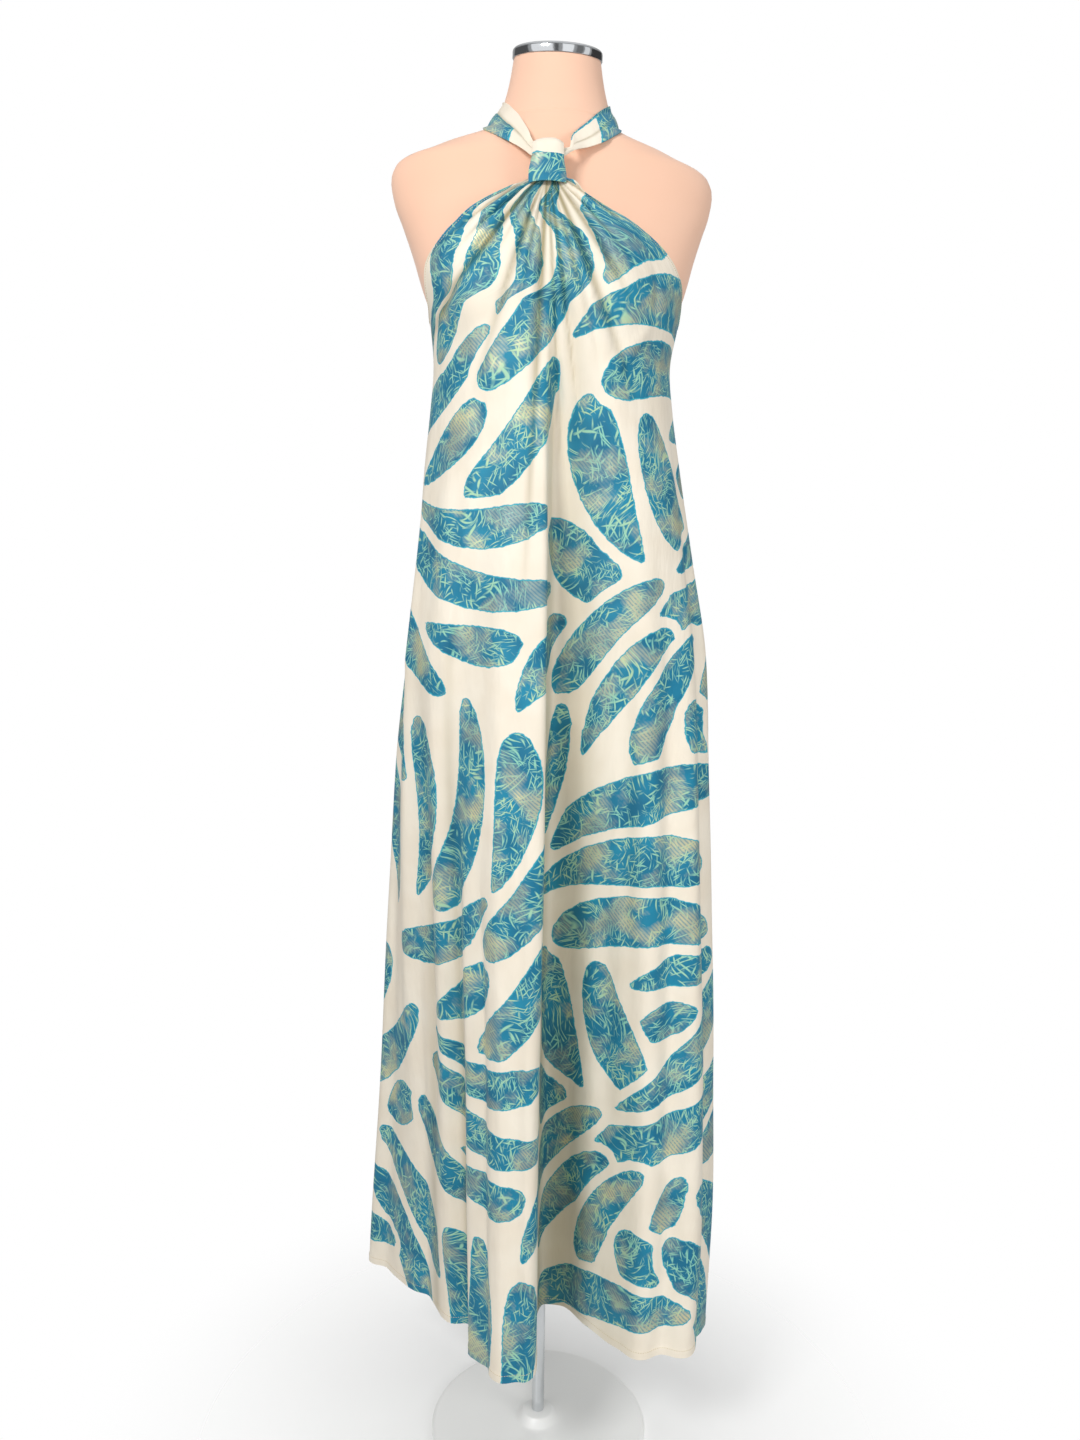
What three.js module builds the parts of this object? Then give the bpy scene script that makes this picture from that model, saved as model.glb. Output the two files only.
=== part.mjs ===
// A floor-length halter dress on a limbless dress form with a chrome stand.
// Millimetres, +Z up. The origin is on the floor under the stand's pole, and the dress faces -Y.
import * as THREE from "three";

// Driving dimensions. The heights from the hem up are measured from the form's lowest setting on its pole.
const RAISED = 110; // how far above that setting the form stands, so that the dress clears the floor
const CLOTH = 1.2; // wall of one layer of cloth
const DOUBLED = 2.4; // wall of the neckband and the loop, which are sewn double
const SEAM_GAP = 0.8; // between pieces that are sewn together
const SEAT_GAP = 0.3; // between hard pieces that touch
const DRAPE_GAP = 2.4; // from the form's cover to the middle of the cloth that lies on it
const HEM = 66; // height of the hem
const UNDERARM = 1300; // top of the side seams
const NECKLINE = 1440; // where the gathers go under the loop
const GATHER_TOP = 1452; // the gathered edge, hidden inside the loop
const FORM_TURN = THREE.MathUtils.degToRad(6.5); // the form stands a little turned inside the dress
const NECK_TILT = THREE.MathUtils.degToRad(15); // the neck's top is cut sloping down to the front
const NECK_BEGINS = 1545; // the neck's sections start to tilt here
const NECK_TOP = 1603;
const FORM_BOTTOM = 860;
const BACK_DIP = 14; // how far the back's top edge sinks at its middle
const BAND_FULLNESS = 3; // how far the neckband swells between its edges
const BASE_RADIUS = 140;
const BASE_TOP = 22;
const FLANGE_RADIUS = 45;
const FLANGE = 8; // thickness of the plate under the form
const POLE_RADIUS = 8;
const CAP_RADIUS = 52.6;

const { sin, cos, abs, sign, hypot, min, max, exp, PI } = Math;
const radians = THREE.MathUtils.degToRad;
const mix = THREE.MathUtils.lerp;
const within = THREE.MathUtils.clamp;

// A table is a list of rows with named columns.
const table = (columns, rows) =>
  rows.map((row) => Object.fromEntries(columns.map((name, i) => [name, row[i]])));

// The half-widths and half-depths of the dress at each height, before its folds.
const DRESS = table(
  ["z", "left", "right", "front", "back"],
  [
    [66, 230, 206, 167, 174],
    [234, 219, 212, 163, 168],
    [400, 210, 209, 159, 161],
    [600, 200, 202, 154, 151],
    [772, 189, 195, 149, 141],
    [910, 174, 188, 144, 131],
    [1023, 162, 172, 139, 118],
    [1146, 151, 154, 134, 104],
    [1200, 145.5, 146, 132, 101],
    [1250, 142, 141, 131, 100],
    [1300, 146, 149, 131, 102],
    [1336, 156, 157, 128, 102],
    [1366, 161, 161, 122, 102],
    [1400, 168, 168, 112, 102],
    [1440, 178, 178, 100, 102],
    [1460, 180, 180, 97, 102],
  ],
);

// The hem's outline seen from above, from the left side seam round the front and the back.
// angle is the place on the bust that each point hangs from: 0 is the centre front and 90 the right side.
// start is the height where its fold begins, and lift how far the hem rises there.
const FOLDS = table(
  ["angle", "x", "y", "start", "lift"],
  [
    [-96, -228, 112, 900, 0],
    [-90, -236, 84, 900, 0],
    [-78, -199, 50, 900, 0],
    [-68, -164, 12, 900, 0],
    [-63, -146, 4, 900, 0],
    [-60, -136, -14, 900, 0],
    [-55, -124, -36, 900, 0],
    [-49, -108, -48, 900, 0],
    [-43, -93, -58, 900, 0],
    [-38, -87, -84, 1000, 4],
    [-29, -70, -132, 1150, 2],
    [-18, -44, -163, 1300, 0],
    [-8, -18, -166, 1330, 2],
    [-3, -7, -148, 1340, 6],
    [-1, -3, -108, 1340, 8],
    [1, 1, -60, 1340, 10],
    [4, 8, -27, 1340, 10],
    [10, 28, -24, 1320, 6],
    [19, 58, -54, 1250, 0],
    [31, 93, -93, 1150, 0],
    [45, 132, -114, 1100, 0],
    [57, 163, -113, 1100, 0],
    [67, 187, -99, 1100, 0],
    [76, 200, -72, 1100, 0],
    [84, 206, -35, 1100, 0],
    [91, 208, 5, 1100, 0],
    [102, 204, 45, 1100, 0],
    [115, 186, 90, 1100, 2],
    [128, 155, 122, 1150, 0],
    [139, 122, 124, 1150, 4],
    [152, 85, 152, 1150, 0],
    [165, 45, 172, 1150, 0],
    [176, 12, 154, 1150, 4],
    [187, -22, 156, 1150, 4],
    [199, -62, 174, 1150, 0],
    [212, -102, 160, 1150, 0],
    [222, -130, 138, 1150, 4],
    [234, -165, 146, 1100, 0],
    [250, -203, 138, 1000, 0],
    [264, -228, 112, 900, 0],
  ],
);
const RIGHT_SEAM_ROW = 25; // the row of FOLDS that holds the right side seam

// How far round the front panel still reaches above the underarm, on each side of the centre front.
const ARMHOLES = table(
  ["z", "left", "right"],
  [
    [1300, -96, 91],
    [1306, -86, 85],
    [1318, -73.5, 78],
    [1336, -66.5, 70],
    [1355, -60, 59.5],
    [1372, -51, 46],
    [1387, -43.5, 32],
    [1400, -36, 21],
    [1412, -27.5, 14],
    [1423, -19, 9],
    [1432, -13, 6.5],
    [1440, -7.8, 3],
    [1460, -6.2, 1.6],
  ],
);

// Gathers that fan out below the loop. angle is from straight down, and positive to the right.
const GATHERS = table(
  ["angle", "spread", "height", "reach"],
  [
    [-62, 4, 3, 140],
    [-50, 5, 4.5, 170],
    [-37, 5, 7, 210],
    [-23, 5, 5, 230],
    [-10, 4, 6.5, 330],
    [0.5, 2.6, 7, 400],
    [8, 2.6, 7, 380],
    [17, 4, 7, 270],
    [33, 5, 7, 220],
    [50, 5, 4.5, 160],
  ],
);
const GATHER_POINT = { x: -8.5, z: 1452 };
const FULL_GATHER = 60; // the gathers reach their full height this far from the point they fan out from
const LEAST_ROOM = 0.04; // the share of their height that is left inside the loop

// The form's sections: half-width, half-depth, the middle's place front to back, and how square it is.
const FORM = table(
  ["z", "width", "depth", "centre", "square"],
  [
    [860, 148, 93, 6, 2.4],
    [900, 154, 101, 8, 2.4],
    [950, 151, 100, 8, 2.3],
    [1030, 134, 90, 4, 2.3],
    [1100, 118, 80, -1, 2.3],
    [1150, 119, 81, -4, 2.3],
    [1220, 130, 90, -7, 2.3],
    [1260, 136, 98, -9, 2.3],
    [1300, 142, 103, -10, 2.3],
    [1340, 156, 103, -8, 2.3],
    [1380, 168, 98, -3, 2.2],
    [1415, 180, 91, 3, 2.1],
    [1440, 189, 87, 7, 2],
    [1465, 193, 84, 8, 2],
    [1480, 188, 82, 8, 2],
    [1486, 181, 81, 8, 2],
    [1493, 161, 79, 7, 2],
    [1501, 140, 77, 6, 2],
    [1511, 106, 74, 5, 2],
    [1520, 82, 70, 3, 2],
    [1528, 73, 66, 1, 2],
    [1545, 65, 60, -2, 2],
    [1560, 60, 57, -5, 2],
    [1580, 55, 54, -8, 2],
    [1603, 51, 51, -11, 2],
  ],
);
const BUST = { angle: radians(38), spread: radians(20), z: 1302, height: 46, fullness: 0.075 };

// The neckband's lower and upper edges, from inside the loop round the neck and back to it.
const NECKBAND = table(
  ["lowX", "lowY", "lowZ", "topX", "topY", "topZ"],
  [
    [-9.5, -98, 1461, -9.5, -97, 1473],
    [-25, -98, 1463, -25, -96, 1472],
    [-33, -93, 1470, -31, -91, 1475],
    [-41, -87, 1477, -32, -84, 1493],
    [-50, -81, 1484, -36, -76, 1507],
    [-59, -76, 1490, -41, -66, 1519],
    [-69, -70, 1497, -47, -55, 1529],
    [-76, -58, 1505, -53, -42, 1540],
    [-78, -42, 1513, -58, -26, 1550],
    [-80, -14, 1524, -60, -8, 1557],
    [-78, 18, 1530, -59, 16, 1564],
    [-67, 47, 1533, -46, 39, 1569],
    [-40, 70, 1533, -25, 51, 1572],
    [0, 76, 1534, 0, 55, 1573],
    [40, 70, 1533, 25, 50, 1572],
    [66, 45, 1533, 45, 37, 1567],
    [75, 15, 1530, 58, 14, 1561],
    [74, -11, 1526, 59, -8, 1555],
    [73, -32, 1517, 57, -24, 1547],
    [69, -49, 1507, 52, -38, 1538],
    [60, -64, 1495, 44, -52, 1526],
    [47, -73, 1486, 35, -64, 1513],
    [35, -79, 1480, 25, -72, 1502],
    [25, -87, 1475, 18, -80, 1492],
    [17, -93, 1470, 15.5, -91, 1475],
    [8, -98, 1463, 8, -96, 1472],
    [-7.5, -98, 1461, -7.5, -97, 1473],
  ],
);

// The loop is a strip: up its front, over the neckband and down its back. Its top sinks and its front
// bends back towards its two sides.
const LOOP = {
  x: -8.5,
  halfWidth: 20.5,
  front: -109,
  back: -87,
  bottom: 1433,
  backBottom: 1442,
  shoulder: 1470,
  sideSink: 3,
  sideBend: 4,
};

const ROUNDNESS = 0.94; // 1 makes the dress's plain sections true ellipses, and less makes them squarer
const FOLD_GROWTH = 0.75; // under 1, the folds open quickly below the place where they start
const LIFT_TOP = 400; // above this height the hem's rise has faded out

// The value of a column where the key column reads `at`, on a curve that never overshoots the rows.
function read(rows, key, column, at) {
  const last = rows.length - 1;
  let i = 0;
  while (i < last - 1 && rows[i + 1][key] < at) i += 1;
  const steepness = (j) =>
    (rows[j + 1][column] - rows[j][column]) / (rows[j + 1][key] - rows[j][key]);
  const slope = (j) => {
    if (j === 0) return steepness(0);
    if (j === last) return steepness(last - 1);
    const before = steepness(j - 1);
    const after = steepness(j);
    return before * after <= 0 ? 0 : (2 * before * after) / (before + after);
  };
  const span = rows[i + 1][key] - rows[i][key];
  const t = within((at - rows[i][key]) / span, 0, 1);
  const rise = t * t * (3 - 2 * t);
  return (
    mix(rows[i][column], rows[i + 1][column], rise) +
    span * t * (1 - t) * ((1 - t) * slope(i) - t * slope(i + 1))
  );
}

// Adds to each row of a closed outline how far along it lies.
function measured(rows, x = "x", y = "y") {
  let run = 0;
  return rows.map((row, i) => {
    if (i > 0) run += hypot(row[x] - rows[i - 1][x], row[y] - rows[i - 1][y]);
    return { ...row, run };
  });
}
const HEM_RUN = measured(FOLDS);
const RIGHT_SEAM = HEM_RUN[RIGHT_SEAM_ROW].run;
const WHOLE_HEM = HEM_RUN.at(-1).run;

const UP = new THREE.Vector3(0, 0, 1);
const signedPower = (value, power) => sign(value) * abs(value) ** power;

// How much the bust makes the form fuller, seen from its axis in the direction `angle` from the front.
function bustFullness(angle, z) {
  const across = (abs(angle) - BUST.angle) / BUST.spread;
  const up = (z - BUST.z) / BUST.height;
  return 1 + BUST.fullness * exp(-across * across - up * up);
}

// A point of the form's cover, in the form's own frame.
function formPoint(angle, z) {
  const part = (column) => read(FORM, "z", column, z);
  const power = 2 / part("square");
  const fullness = bustFullness(angle, z);
  const tilt = Math.tan(NECK_TILT) * within((z - NECK_BEGINS) / (NECK_TOP - NECK_BEGINS), 0, 1);
  const x = part("width") * fullness * signedPower(sin(angle), power);
  const y = part("depth") * fullness * signedPower(-cos(angle), power);
  return new THREE.Vector3(x, y + part("centre"), z + y * tilt);
}

// Moves a point of the dress outwards until it is `gap` clear of the form.
// Where the form slopes like a roof, `drop` takes its section from that much further down.
function clearOfForm(point, gap, drop = 0) {
  if (point.z < FORM_BOTTOM - 30) return point;
  const z = max(point.z - drop, FORM_BOTTOM);
  const part = (column) => read(FORM, "z", column, z);
  const local = point.clone().applyAxisAngle(UP, -FORM_TURN);
  const power = part("square") / 2;
  const depth = local.y - part("centre");
  const across = abs(local.x) / (part("width") + gap);
  const through = abs(depth) / (part("depth") + gap);
  const angle = Math.atan2(sign(local.x) * across ** power, -sign(depth) * through ** power);
  const reach = (across ** (2 * power) + through ** (2 * power)) ** (1 / (2 * power));
  const fullness = bustFullness(angle, z);
  if (reach >= fullness) return point;
  local.x *= fullness / reach;
  local.y = part("centre") + (depth * fullness) / reach;
  return local.applyAxisAngle(UP, FORM_TURN);
}

// How far the gathers lift the cloth at a place on the chest.
function gatherHeight(x, z) {
  const side = x - GATHER_POINT.x;
  const down = GATHER_POINT.z - z;
  const angle = THREE.MathUtils.radToDeg(Math.atan2(side, max(down, 1)));
  const distance = hypot(side, down);
  const room = within(distance / FULL_GATHER, LEAST_ROOM, 1);
  return GATHERS.reduce((sum, gather) => {
    const off = (angle - gather.angle) / gather.spread;
    const fade = max(0, 1 - distance / gather.reach);
      return sum + gather.height * room * fade * exp(-off * off);
  }, 0);
}

// A point in the middle of the dress's cloth. run is the place along the hem, and z the height.
function dressPoint(run, z) {
  const place = (column) => read(HEM_RUN, "run", column, run);
  const size = (column, height = z) => read(DRESS, "z", column, height);
  const start = place("start");
  const growth = within((start - z) / (start - HEM), 0, 1) ** FOLD_GROWTH;
  let angle = place("angle");
  if (z > UNDERARM) {
    const share = (angle - ARMHOLES[0].left) / (ARMHOLES[0].right - ARMHOLES[0].left);
    angle = mix(read(ARMHOLES, "z", "left", z), read(ARMHOLES, "z", "right", z), share);
  }
  const wide = angle < 0 || angle > 180 ? "left" : "right";
  const deep = abs(angle) < 90 || angle > 270 ? "front" : "back";
  const plainX = size(wide) * signedPower(sin(radians(angle)), ROUNDNESS);
  const plainY = size(deep) * signedPower(-cos(radians(angle)), ROUNDNESS);
  const taper = (side) => size(side) / size(side, HEM);
  const foldX = place("x") * taper(place("x") < 0 ? "left" : "right");
  const foldY = place("y") * taper(place("y") < 0 ? "front" : "back");
  const lift = place("lift") * within((LIFT_TOP - z) / (LIFT_TOP - HEM), 0, 1);
  const point = new THREE.Vector3(mix(plainX, foldX, growth), mix(plainY, foldY, growth), z + lift);
  const gathered = run < RIGHT_SEAM ? gatherHeight(point.x, z) : 0;
  const cleared = clearOfForm(point, DRAPE_GAP);
  cleared.y -= gathered;
  return cleared;
}

// A closed wall around a grid of points: rows of equal length, `wall` thick.
function clothWall(grid, wall) {
  const rows = grid.length;
  const columns = grid[0].length;
  const at = (i, j) => grid[within(i, 0, rows - 1)][within(j, 0, columns - 1)];
  const positions = [];
  for (const side of [0.5, -0.5]) {
    for (let i = 0; i < rows; i += 1) {
      for (let j = 0; j < columns; j += 1) {
        const up = at(i + 1, j).clone().sub(at(i - 1, j));
        const across = at(i, j + 1).clone().sub(at(i, j - 1));
        const outward = across.cross(up).normalize();
        positions.push(...at(i, j).clone().addScaledVector(outward, side * wall));
      }
    }
  }
  const layer = rows * columns;
  const triangles = [];
  const quad = (a, b, c, d) => triangles.push(a, b, c, a, c, d);
  for (let i = 0; i < rows - 1; i += 1) {
    for (let j = 0; j < columns - 1; j += 1) {
      const a = i * columns + j;
      quad(a, a + 1, a + columns + 1, a + columns);
      quad(a + layer, a + columns + layer, a + columns + 1 + layer, a + 1 + layer);
    }
  }
  for (let j = 0; j < columns - 1; j += 1) {
    const top = (rows - 1) * columns + j;
    quad(j + layer, j + 1 + layer, j + 1, j);
    quad(top, top + 1, top + 1 + layer, top + layer);
  }
  for (let i = 0; i < rows - 1; i += 1) {
    const a = i * columns;
    const b = a + columns - 1;
    quad(a, a + columns, a + columns + layer, a + layer);
    quad(b + layer, b + columns + layer, b + columns, b);
  }
  return new THREE.BufferGeometry()
    .setAttribute("position", new THREE.Float32BufferAttribute(positions, 3))
    .setIndex(triangles);
}

const steps = (count, from, to) => Array.from({ length: count + 1 }, (_, i) => mix(from, to, i / count));

// A panel of the dress between two places on the hem. Its top edge sinks by `dip` at its middle.
function panel(heights, columns, from, to, dip = 0) {
  const runs = steps(columns, from, to);
  const sunk = (run, z) => {
    const nearTop = within((z - DIP_BEGINS) / (UNDERARM - DIP_BEGINS), 0, 1);
    return z - dip * nearTop * sin((PI * (run - from)) / (to - from)) ** 2;
  };
  return clothWall(heights.map((z) => runs.map((run) => dressPoint(run, sunk(run, z)))), CLOTH);
}

const DIP_BEGINS = 1140;
const FRONT_COLUMNS = 50;
const BACK_COLUMNS = 30;
const SKIRT_ROWS = [
  HEM, 150, 250, 360, 470, 590, 710, 820, 910, 990, 1070, 1140, 1195, 1240, 1272, UNDERARM,
];
const CHEST_ROWS = [1306, 1318, 1336, 1355, 1372, 1387, 1400, 1412, 1423, 1432, NECKLINE, GATHER_TOP];

const HALF_SEAM = SEAM_GAP / 2;

const frontPanel = () =>
  panel([...SKIRT_ROWS, ...CHEST_ROWS], FRONT_COLUMNS, HALF_SEAM, RIGHT_SEAM - HALF_SEAM);
const backPanel = () =>
  panel(SKIRT_ROWS, BACK_COLUMNS, RIGHT_SEAM + HALF_SEAM, WHOLE_HEM - HALF_SEAM, BACK_DIP);

const BAND_LENGTHS = 44;
const BAND_WIDTHS = 4;
const SHOULDER_DROP = 2.2; // lifts the neckband off the shoulders, whose slope is gentle

// The neckband: a strip that bulges a little between its two edges and narrows where it enters the loop.
function neckband() {
  const along = measured(NECKBAND, "lowX", "lowY");
  const stations = steps(BAND_LENGTHS, 0, along.at(-1).run);
  const edge = (name, run) =>
    new THREE.Vector3(...["X", "Y", "Z"].map((axis) => read(along, "run", name + axis, run)));
  const grid = steps(BAND_WIDTHS, 0, 1).map((share) =>
    stations.map((run) => {
      const point = edge("low", run).lerp(edge("top", run), share);
      const out = new THREE.Vector3(point.x, point.y, 0).normalize();
      point.addScaledVector(out, BAND_FULLNESS * sin(PI * share));
      return clearOfForm(point, DOUBLED / 2 + SEAM_GAP, SHOULDER_DROP);
    }),
  );
  return clothWall(grid, DOUBLED);
}

function loop() {
  const radius = (LOOP.back - LOOP.front) / 2;
  const middle = (LOOP.back + LOOP.front) / 2;
  const over = steps(8, 0, PI).map((turn) => [
    middle - radius * cos(turn),
    LOOP.shoulder + radius * sin(turn),
  ]);
  const path = [
    ...steps(4, LOOP.bottom, LOOP.shoulder).slice(0, -1).map((z) => [LOOP.front, z]),
    ...over,
    ...steps(3, LOOP.shoulder, LOOP.backBottom).slice(1).map((z) => [LOOP.back, z]),
  ];
  const grid = path.map(([y, z]) =>
    steps(10, -1, 1).map((side) => {
      const forward = (LOOP.back - y) / (LOOP.back - LOOP.front);
      const bend = LOOP.sideBend * forward * abs(side) ** 2.5;
      const sink = z > LOOP.shoulder ? LOOP.sideSink * side * side : 0;
      return new THREE.Vector3(LOOP.x + LOOP.halfWidth * side, y + bend, z - sink);
    }),
  );
  return clothWall(grid, DOUBLED);
}

const FARTHEST_RINGS = 30;
const FORM_COLUMNS = 36;

// A closed body through rings of points, with a flat lid on each end.
function lofted(rings) {
  const columns = rings[0].length;
  const positions = rings.flat().flatMap((point) => [...point]);
  const middle = (ring) =>
    ring.reduce((sum, point) => sum.add(point), new THREE.Vector3()).divideScalar(columns);
  positions.push(...middle(rings[0]), ...middle(rings.at(-1)));
  const bottom = rings.length * columns;
  const top = (rings.length - 1) * columns;
  const triangles = [];
  for (let j = 0; j < columns; j += 1) {
    const next = (j + 1) % columns;
    for (let i = 0; i < rings.length - 1; i += 1) {
      const a = i * columns;
      triangles.push(a + j, a + next, a + columns + next);
      triangles.push(a + j, a + columns + next, a + columns + j);
    }
    triangles.push(bottom, next, j, bottom + 1, top + j, top + next);
  }
  return new THREE.BufferGeometry()
    .setAttribute("position", new THREE.Float32BufferAttribute(positions, 3))
    .setIndex(triangles);
}

// The form's body has a ring at each row of its table, and one between rows that lie far apart.
function torso() {
  const heights = FORM.flatMap(({ z }, i) => {
    const below = i > 0 ? FORM[i - 1].z : z;
    return z - below > FARTHEST_RINGS ? [(z + below) / 2, z] : [z];
  });
  const angles = steps(FORM_COLUMNS, -PI, PI).slice(0, -1);
  return lofted(heights.map((z) => angles.map((angle) => formPoint(angle, z))));
}

// A turned piece from a closed profile of [radius, height] pairs.
function turned(profile, segments = 40) {
  const outline = profile.map(([radius, height]) => new THREE.Vector2(radius, height));
  return new THREE.LatheGeometry(outline, segments).rotateX(PI / 2);
}

// The cap's chrome band, with a low dome on it.
const neckCap = () =>
  turned([
    [0, 0],
    [CAP_RADIUS - 0.6, 0],
    [CAP_RADIUS, 1],
    [CAP_RADIUS, 8],
    [CAP_RADIUS - 1.6, 10.4],
    [CAP_RADIUS - 5.6, 11.6],
    [CAP_RADIUS / 2, 13.4],
    [0, 14],
  ]);

// The base: a flat disc with a rounded rim that rises a little to the socket for the pole.
const base = () =>
  turned([
    [0, 0],
    [BASE_RADIUS - 2, 0],
    [BASE_RADIUS, 2],
    [BASE_RADIUS - 1, 6],
    [BASE_RADIUS - 6, 8],
    [POLE_RADIUS + 21, 11],
    [POLE_RADIUS + 17, 13],
    [POLE_RADIUS + 11, BASE_TOP],
    [0, BASE_TOP],
  ]);

const rod = (radius, height, segments) =>
  turned([[0, 0], [radius, 0], [radius, height], [0, height]], segments);

const printedCloth = new THREE.MeshStandardMaterial({ color: 0x86b5b3, roughness: 0.55, metalness: 0 });
const jersey = new THREE.MeshStandardMaterial({ color: 0xfdd5bc, roughness: 0.85, metalness: 0 });
const chrome = new THREE.MeshStandardMaterial({ color: 0xd9dcdf, roughness: 0.12, metalness: 1 });
const whiteEnamel = new THREE.MeshStandardMaterial({ color: 0xf4f3f0, roughness: 0.35, metalness: 0 });

function piece(name, geometry, material, z = 0) {
  const mesh = new THREE.Mesh(geometry, material);
  mesh.name = name;
  mesh.position.z = z;
  return mesh;
}

const dress = new THREE.Group().add(
  piece("front_panel", frontPanel(), printedCloth),
  piece("back_panel", backPanel(), printedCloth),
  piece("neckband", neckband(), printedCloth),
  piece("loop", loop(), printedCloth),
);

dress.position.z = RAISED;

const form = new THREE.Group();
form.position.z = RAISED;
form.rotation.z = FORM_TURN;
const cap = piece("neck_cap", neckCap(), chrome);
const capSeat = new THREE.Vector3(0, 0, SEAT_GAP).applyAxisAngle(new THREE.Vector3(1, 0, 0), NECK_TILT);
cap.position.set(0, FORM.at(-1).centre, NECK_TOP).add(capSeat);
cap.rotation.x = NECK_TILT;
form.add(piece("torso", torso(), jersey), cap);

const flangeBottom = RAISED + FORM_BOTTOM - SEAT_GAP - FLANGE;
const poleBottom = BASE_TOP + SEAT_GAP;
const poleLength = flangeBottom - SEAT_GAP - poleBottom;
const stand = new THREE.Group().add(
  piece("flange", rod(FLANGE_RADIUS, FLANGE, 36), chrome, flangeBottom),
  piece("pole", rod(POLE_RADIUS, poleLength, 24), chrome, poleBottom),
  piece("base", base(), whiteEnamel),
);

export default new THREE.Group().add(dress, form, stand);
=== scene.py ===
# %% [markdown]
# # A halter dress on a dress form
#
# The dress is cut from one wide front panel, one back panel, a neckband and a loop. It hangs on a
# padded form with a metal cap, on a pole with a round base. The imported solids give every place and
# size. This lesson puts fine cloth, cover and metal on them, one piece at a time.

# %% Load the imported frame
import math

import bpy
import numpy as np
from mathutils import Matrix, Vector


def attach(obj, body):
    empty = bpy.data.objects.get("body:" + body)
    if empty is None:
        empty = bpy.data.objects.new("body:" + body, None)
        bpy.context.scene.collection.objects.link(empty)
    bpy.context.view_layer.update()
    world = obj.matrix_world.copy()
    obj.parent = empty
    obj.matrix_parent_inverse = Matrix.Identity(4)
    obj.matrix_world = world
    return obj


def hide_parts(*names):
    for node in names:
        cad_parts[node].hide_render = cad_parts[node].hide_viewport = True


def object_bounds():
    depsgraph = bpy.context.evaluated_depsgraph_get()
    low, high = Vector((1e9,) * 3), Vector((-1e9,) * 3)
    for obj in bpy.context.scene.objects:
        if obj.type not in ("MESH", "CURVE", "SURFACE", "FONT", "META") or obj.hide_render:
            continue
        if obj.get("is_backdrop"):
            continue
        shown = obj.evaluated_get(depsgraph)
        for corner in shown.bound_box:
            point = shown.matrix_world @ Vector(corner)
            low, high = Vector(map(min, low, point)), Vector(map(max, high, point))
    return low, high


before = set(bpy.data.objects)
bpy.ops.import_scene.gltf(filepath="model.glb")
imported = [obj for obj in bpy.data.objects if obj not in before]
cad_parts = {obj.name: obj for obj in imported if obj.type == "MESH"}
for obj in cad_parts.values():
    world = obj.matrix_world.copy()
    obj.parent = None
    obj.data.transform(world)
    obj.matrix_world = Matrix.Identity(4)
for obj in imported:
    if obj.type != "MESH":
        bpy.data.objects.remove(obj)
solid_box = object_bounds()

print("nodes in the frame:", sorted(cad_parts))

# %% [markdown]
# ## The camera
#
# The camera stands at hip height, about 1.4 m in front, and looks slightly down. It is made first, so
# that each piece can be judged from it. Its place and lens were worked out from the form, whose cap
# is 105 mm across and whose shoulders are 385 mm wide.

# %% Place the camera
CAMERA_PLACE = (-0.009, -1.365, 1.070)
CAMERA_DOWN = math.radians(5.5)
CAMERA_ROLL = math.radians(0.75)
LENS_MM = 27.5


def new_object(name, data):
    made = bpy.data.objects.new(name, data)
    bpy.context.scene.collection.objects.link(made)
    return made


camera = new_object("camera", bpy.data.cameras.new("camera"))
camera.data.lens = LENS_MM
camera.data.sensor_width = 36
aim = Matrix.Rotation(math.pi / 2 - CAMERA_DOWN, 4, "X") @ Matrix.Rotation(CAMERA_ROLL, 4, "Z")
camera.matrix_world = Matrix.Translation(CAMERA_PLACE) @ aim
bpy.context.scene.camera = camera
print("camera at", CAMERA_PLACE, "with a lens of", LENS_MM, "mm")

# %% [markdown]
# ## Sizes
#
# Lengths are in millimetres here, because cloth is measured so. They turn into metres only where a
# mesh is made. Heights are measured from the form's lowest setting, and everything that hangs on
# the form is then raised with it.

# %% Sizes shared with the solids
MM = 0.001
RAISED = 110
HEM = 66
UNDERARM = 1300
GATHER_TOP = 1452
FORM_TURN = math.radians(6.5)
NECK_TILT = math.radians(15)
NECK_BEGINS = 1545
NECK_TOP = 1603
FORM_BOTTOM = 860
DRAPE_GAP = 2.4
BACK_DIP = 14
DIP_BEGINS = 1140
LIFT_TOP = 400
ROUNDNESS = 0.94
FOLD_GROWTH = 0.75
THIN_CLOTH = 0.9
THIN_DOUBLED = 1.8
HEM_TURN = 10
EDGE_TURN = 5
print("the hem hangs", HEM + RAISED, "mm above the floor, and the cloth is", THIN_CLOTH, "mm thick")

# %% [markdown]
# Cloth is easiest to describe by a few measured sections, with a smooth curve from each to the next.
# The curve must not swing past the numbers that it joins, or the skirt would bulge between two rows.

# %% Tables and curves


def table(text):
    """Rows of numbers under a line of column names."""
    names, *rows = (line.split() for line in text.strip().splitlines())
    return [dict(zip(names, map(float, row))) for row in rows]


def read(rows, key, column, at):
    """The column's value where the key column reads `at`, on a smooth curve."""
    at = np.asarray(at, float)
    x = np.array([row[key] for row in rows], float)
    y = np.array([row[column] for row in rows], float)
    step = np.diff(x)
    rise = np.diff(y) / step
    slope = np.concatenate([rise[:1], np.zeros(len(rise) - 1), rise[-1:]])
    before, after = rise[:-1], rise[1:]
    same = before * after > 0
    slope[1:-1][same] = 2 * before[same] * after[same] / (before[same] + after[same])
    i = np.clip(np.searchsorted(x, at, side="left") - 1, 0, len(step) - 1)
    t = np.clip((at - x[i]) / step[i], 0, 1)
    bend = (1 - t) * slope[i] - t * slope[i + 1]
    return y[i] + (y[i + 1] - y[i]) * eased(0, 1, t) + step[i] * t * (1 - t) * bend


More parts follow.
